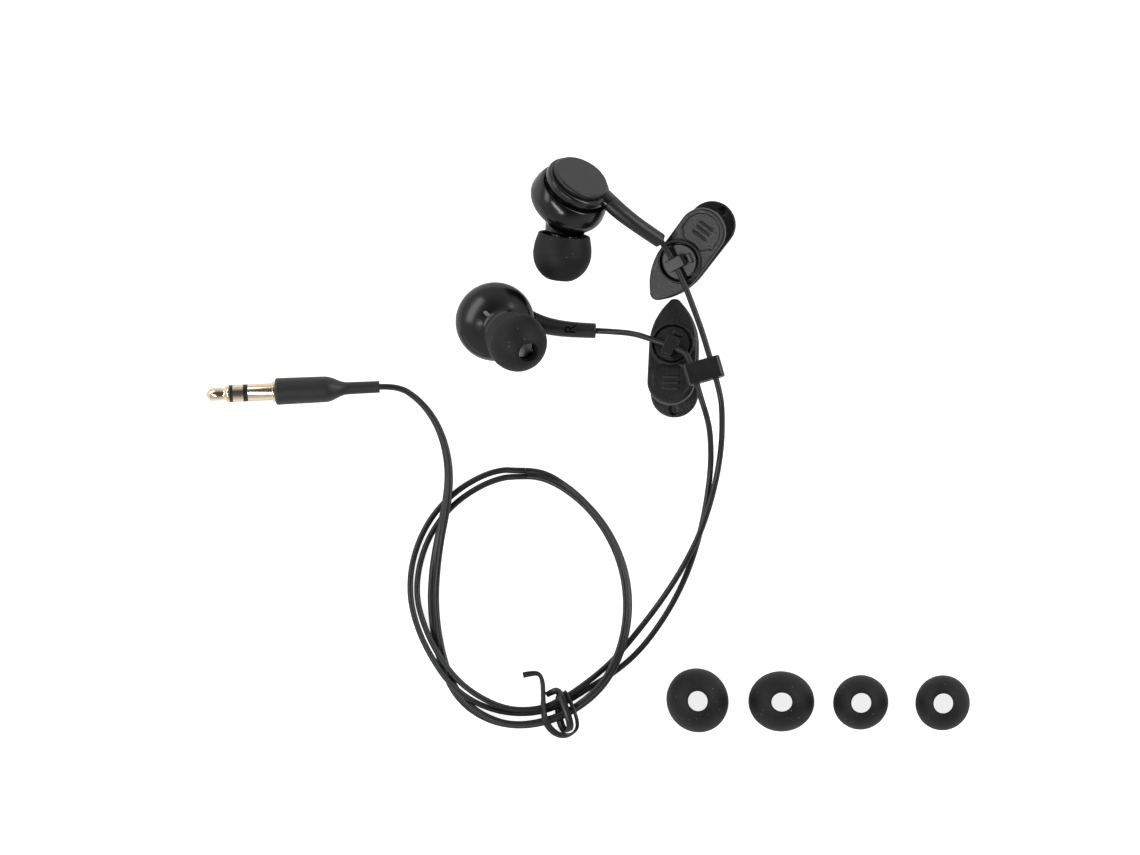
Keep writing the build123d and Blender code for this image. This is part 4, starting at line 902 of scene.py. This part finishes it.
centres = line_points(spline_curve("tie_line", [place for place, width in TIE_ROUTE]))
edge_route = [tuple(Vector(place) + Vector(width)) for place, width in TIE_ROUTE]
edges = line_points(spline_curve("tie_edge", edge_route))
tie_stations = []
for i, (centre, edge) in enumerate(zip(centres, edges)):
    along = (centres[min(i + 1, len(centres) - 1)] - centres[max(i - 1, 0)]).normalized()
    across = edge - centre
    across = (across - along * across.dot(along)).normalized()
    tie_stations.append((centre, across, along.cross(across)))
tie = add_piece("twist_strip", swept_mesh("twist_strip", tie_stations, tie_outline()), "tie_plastic")
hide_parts("twist_tie")
print("tie", round(travelled(centres)[-1] / MM, 1), "mm")

# %% [markdown]
# ## The table and the light
# The set lies on plain white. The table is a white sheet that lifts itself to full white for the camera, so
# only soft contact shadows stay. The light comes from the sides: with a darker sky right above, black plastic
# stays black and its edges and domes catch long highlights.

# %% White table
TABLE_HALF = 1.5            # half its side, in metres
TABLE_DROP = 0.02 * MM      # keeps the sheet just clear of what stands on it
PAPER = 0.85                # share of light that the sheet sends back
CAMERA_LIFT = 0.85          # light of its own that it shows to the camera
MIRROR_LIFT = 0.15          # and that it shows to a mirror or a clear piece
table_mesh = bpy.data.meshes.new("table")
corners = [(x * TABLE_HALF, y * TABLE_HALF, 0) for x, y in ((-1, -1), (1, -1), (1, 1), (-1, 1))]
table_mesh.from_pydata(corners, [], [(0, 1, 2, 3)])
table = bpy.data.objects.new("table", table_mesh)
table.location.z = -TABLE_DROP
bpy.context.scene.collection.objects.link(table)
sheet = bpy.data.materials.new("white_sheet")
sheet.use_nodes = True
table_mesh.materials.append(sheet)
tree = sheet.node_tree
tree.nodes.remove(tree.nodes["Principled BSDF"])
paper = add_node(sheet, "ShaderNodeBsdfDiffuse", {"Color": (PAPER, PAPER, PAPER, 1)})
rays = add_node(sheet, "ShaderNodeLightPath")
mirrored = add_node(sheet, "ShaderNodeMath", {0: rays.outputs["Is Glossy Ray"],
                                              1: rays.outputs["Is Transmission Ray"]}, operation="ADD")
dimmed = add_node(sheet, "ShaderNodeMath", {0: mirrored.outputs[0], 1: MIRROR_LIFT}, operation="MULTIPLY")
lift = add_node(sheet, "ShaderNodeMath",
                {0: rays.outputs["Is Camera Ray"], 1: CAMERA_LIFT, 2: dimmed.outputs[0]},
                operation="MULTIPLY_ADD")
glow = add_node(sheet, "ShaderNodeEmission", {"Strength": lift.outputs[0]})
both = add_node(sheet, "ShaderNodeAddShader", {0: paper.outputs[0], 1: glow.outputs[0]})
tree.links.new(both.outputs[0], tree.nodes["Material Output"].inputs["Surface"])

# %% World: bright round the sides, darker above
HORIZON = 0.6
OVERHEAD = 0.07
world = bpy.data.worlds.new("studio")
bpy.context.scene.world = world
world.use_nodes = True
sky = world.node_tree.nodes["Background"]
direction = add_node(world, "ShaderNodeTexCoord").outputs["Generated"]
height = add_node(world, "ShaderNodeSeparateXYZ", {0: direction}).outputs["Z"]
dome = add_node(world, "ShaderNodeValToRGB", {"Fac": height})
dome.color_ramp.elements[0].color = (HORIZON, HORIZON, HORIZON, 1)
dome.color_ramp.elements[0].position = 0.4
dome.color_ramp.elements[1].color = (OVERHEAD, OVERHEAD, OVERHEAD, 1)
dome.color_ramp.elements[1].position = 0.85
world_rays = add_node(world, "ShaderNodeLightPath")
backdrop = add_node(world, "ShaderNodeMixRGB", {"Fac": world_rays.outputs["Is Camera Ray"],
                                                 "Color1": dome.outputs["Color"]})
backdrop.inputs["Color2"].default_value = (1, 1, 1, 1)
world.node_tree.links.new(backdrop.outputs[0], sky.inputs["Color"])

# %% Softboxes
SOFTBOXES = {
    # place, width and height in metres, then power in watts
    "left_softbox": ((-0.85, 0.5, 0.55), 1.1, 0.3, 3.0),
    "right_softbox": ((0.75, 0.35, 0.7), 0.9, 0.25, 5.0),
    "front_softbox": ((-0.5, -0.3, 0.8), 0.8, 0.12, 4.0),
}


def softbox(name, place, width, height, power):
    """An area lamp that looks at the middle of the table, with its long side level."""
    lamp = bpy.data.lights.new(name, "AREA")
    lamp.shape = "RECTANGLE"
    lamp.size = width
    lamp.size_y = height
    lamp.energy = power
    box = bpy.data.objects.new(name, lamp)
    bpy.context.scene.collection.objects.link(box)
    box.location = place
    box.rotation_euler = (Vector((*FIELD_CENTRE, 0)) - Vector(place)).to_track_quat("-Z", "Y").to_euler()


for name, settings in SOFTBOXES.items():
    softbox(name, *settings)
print("softboxes:", len(SOFTBOXES))

# %% Colours as written
bpy.context.scene.view_settings.view_transform = "Standard"
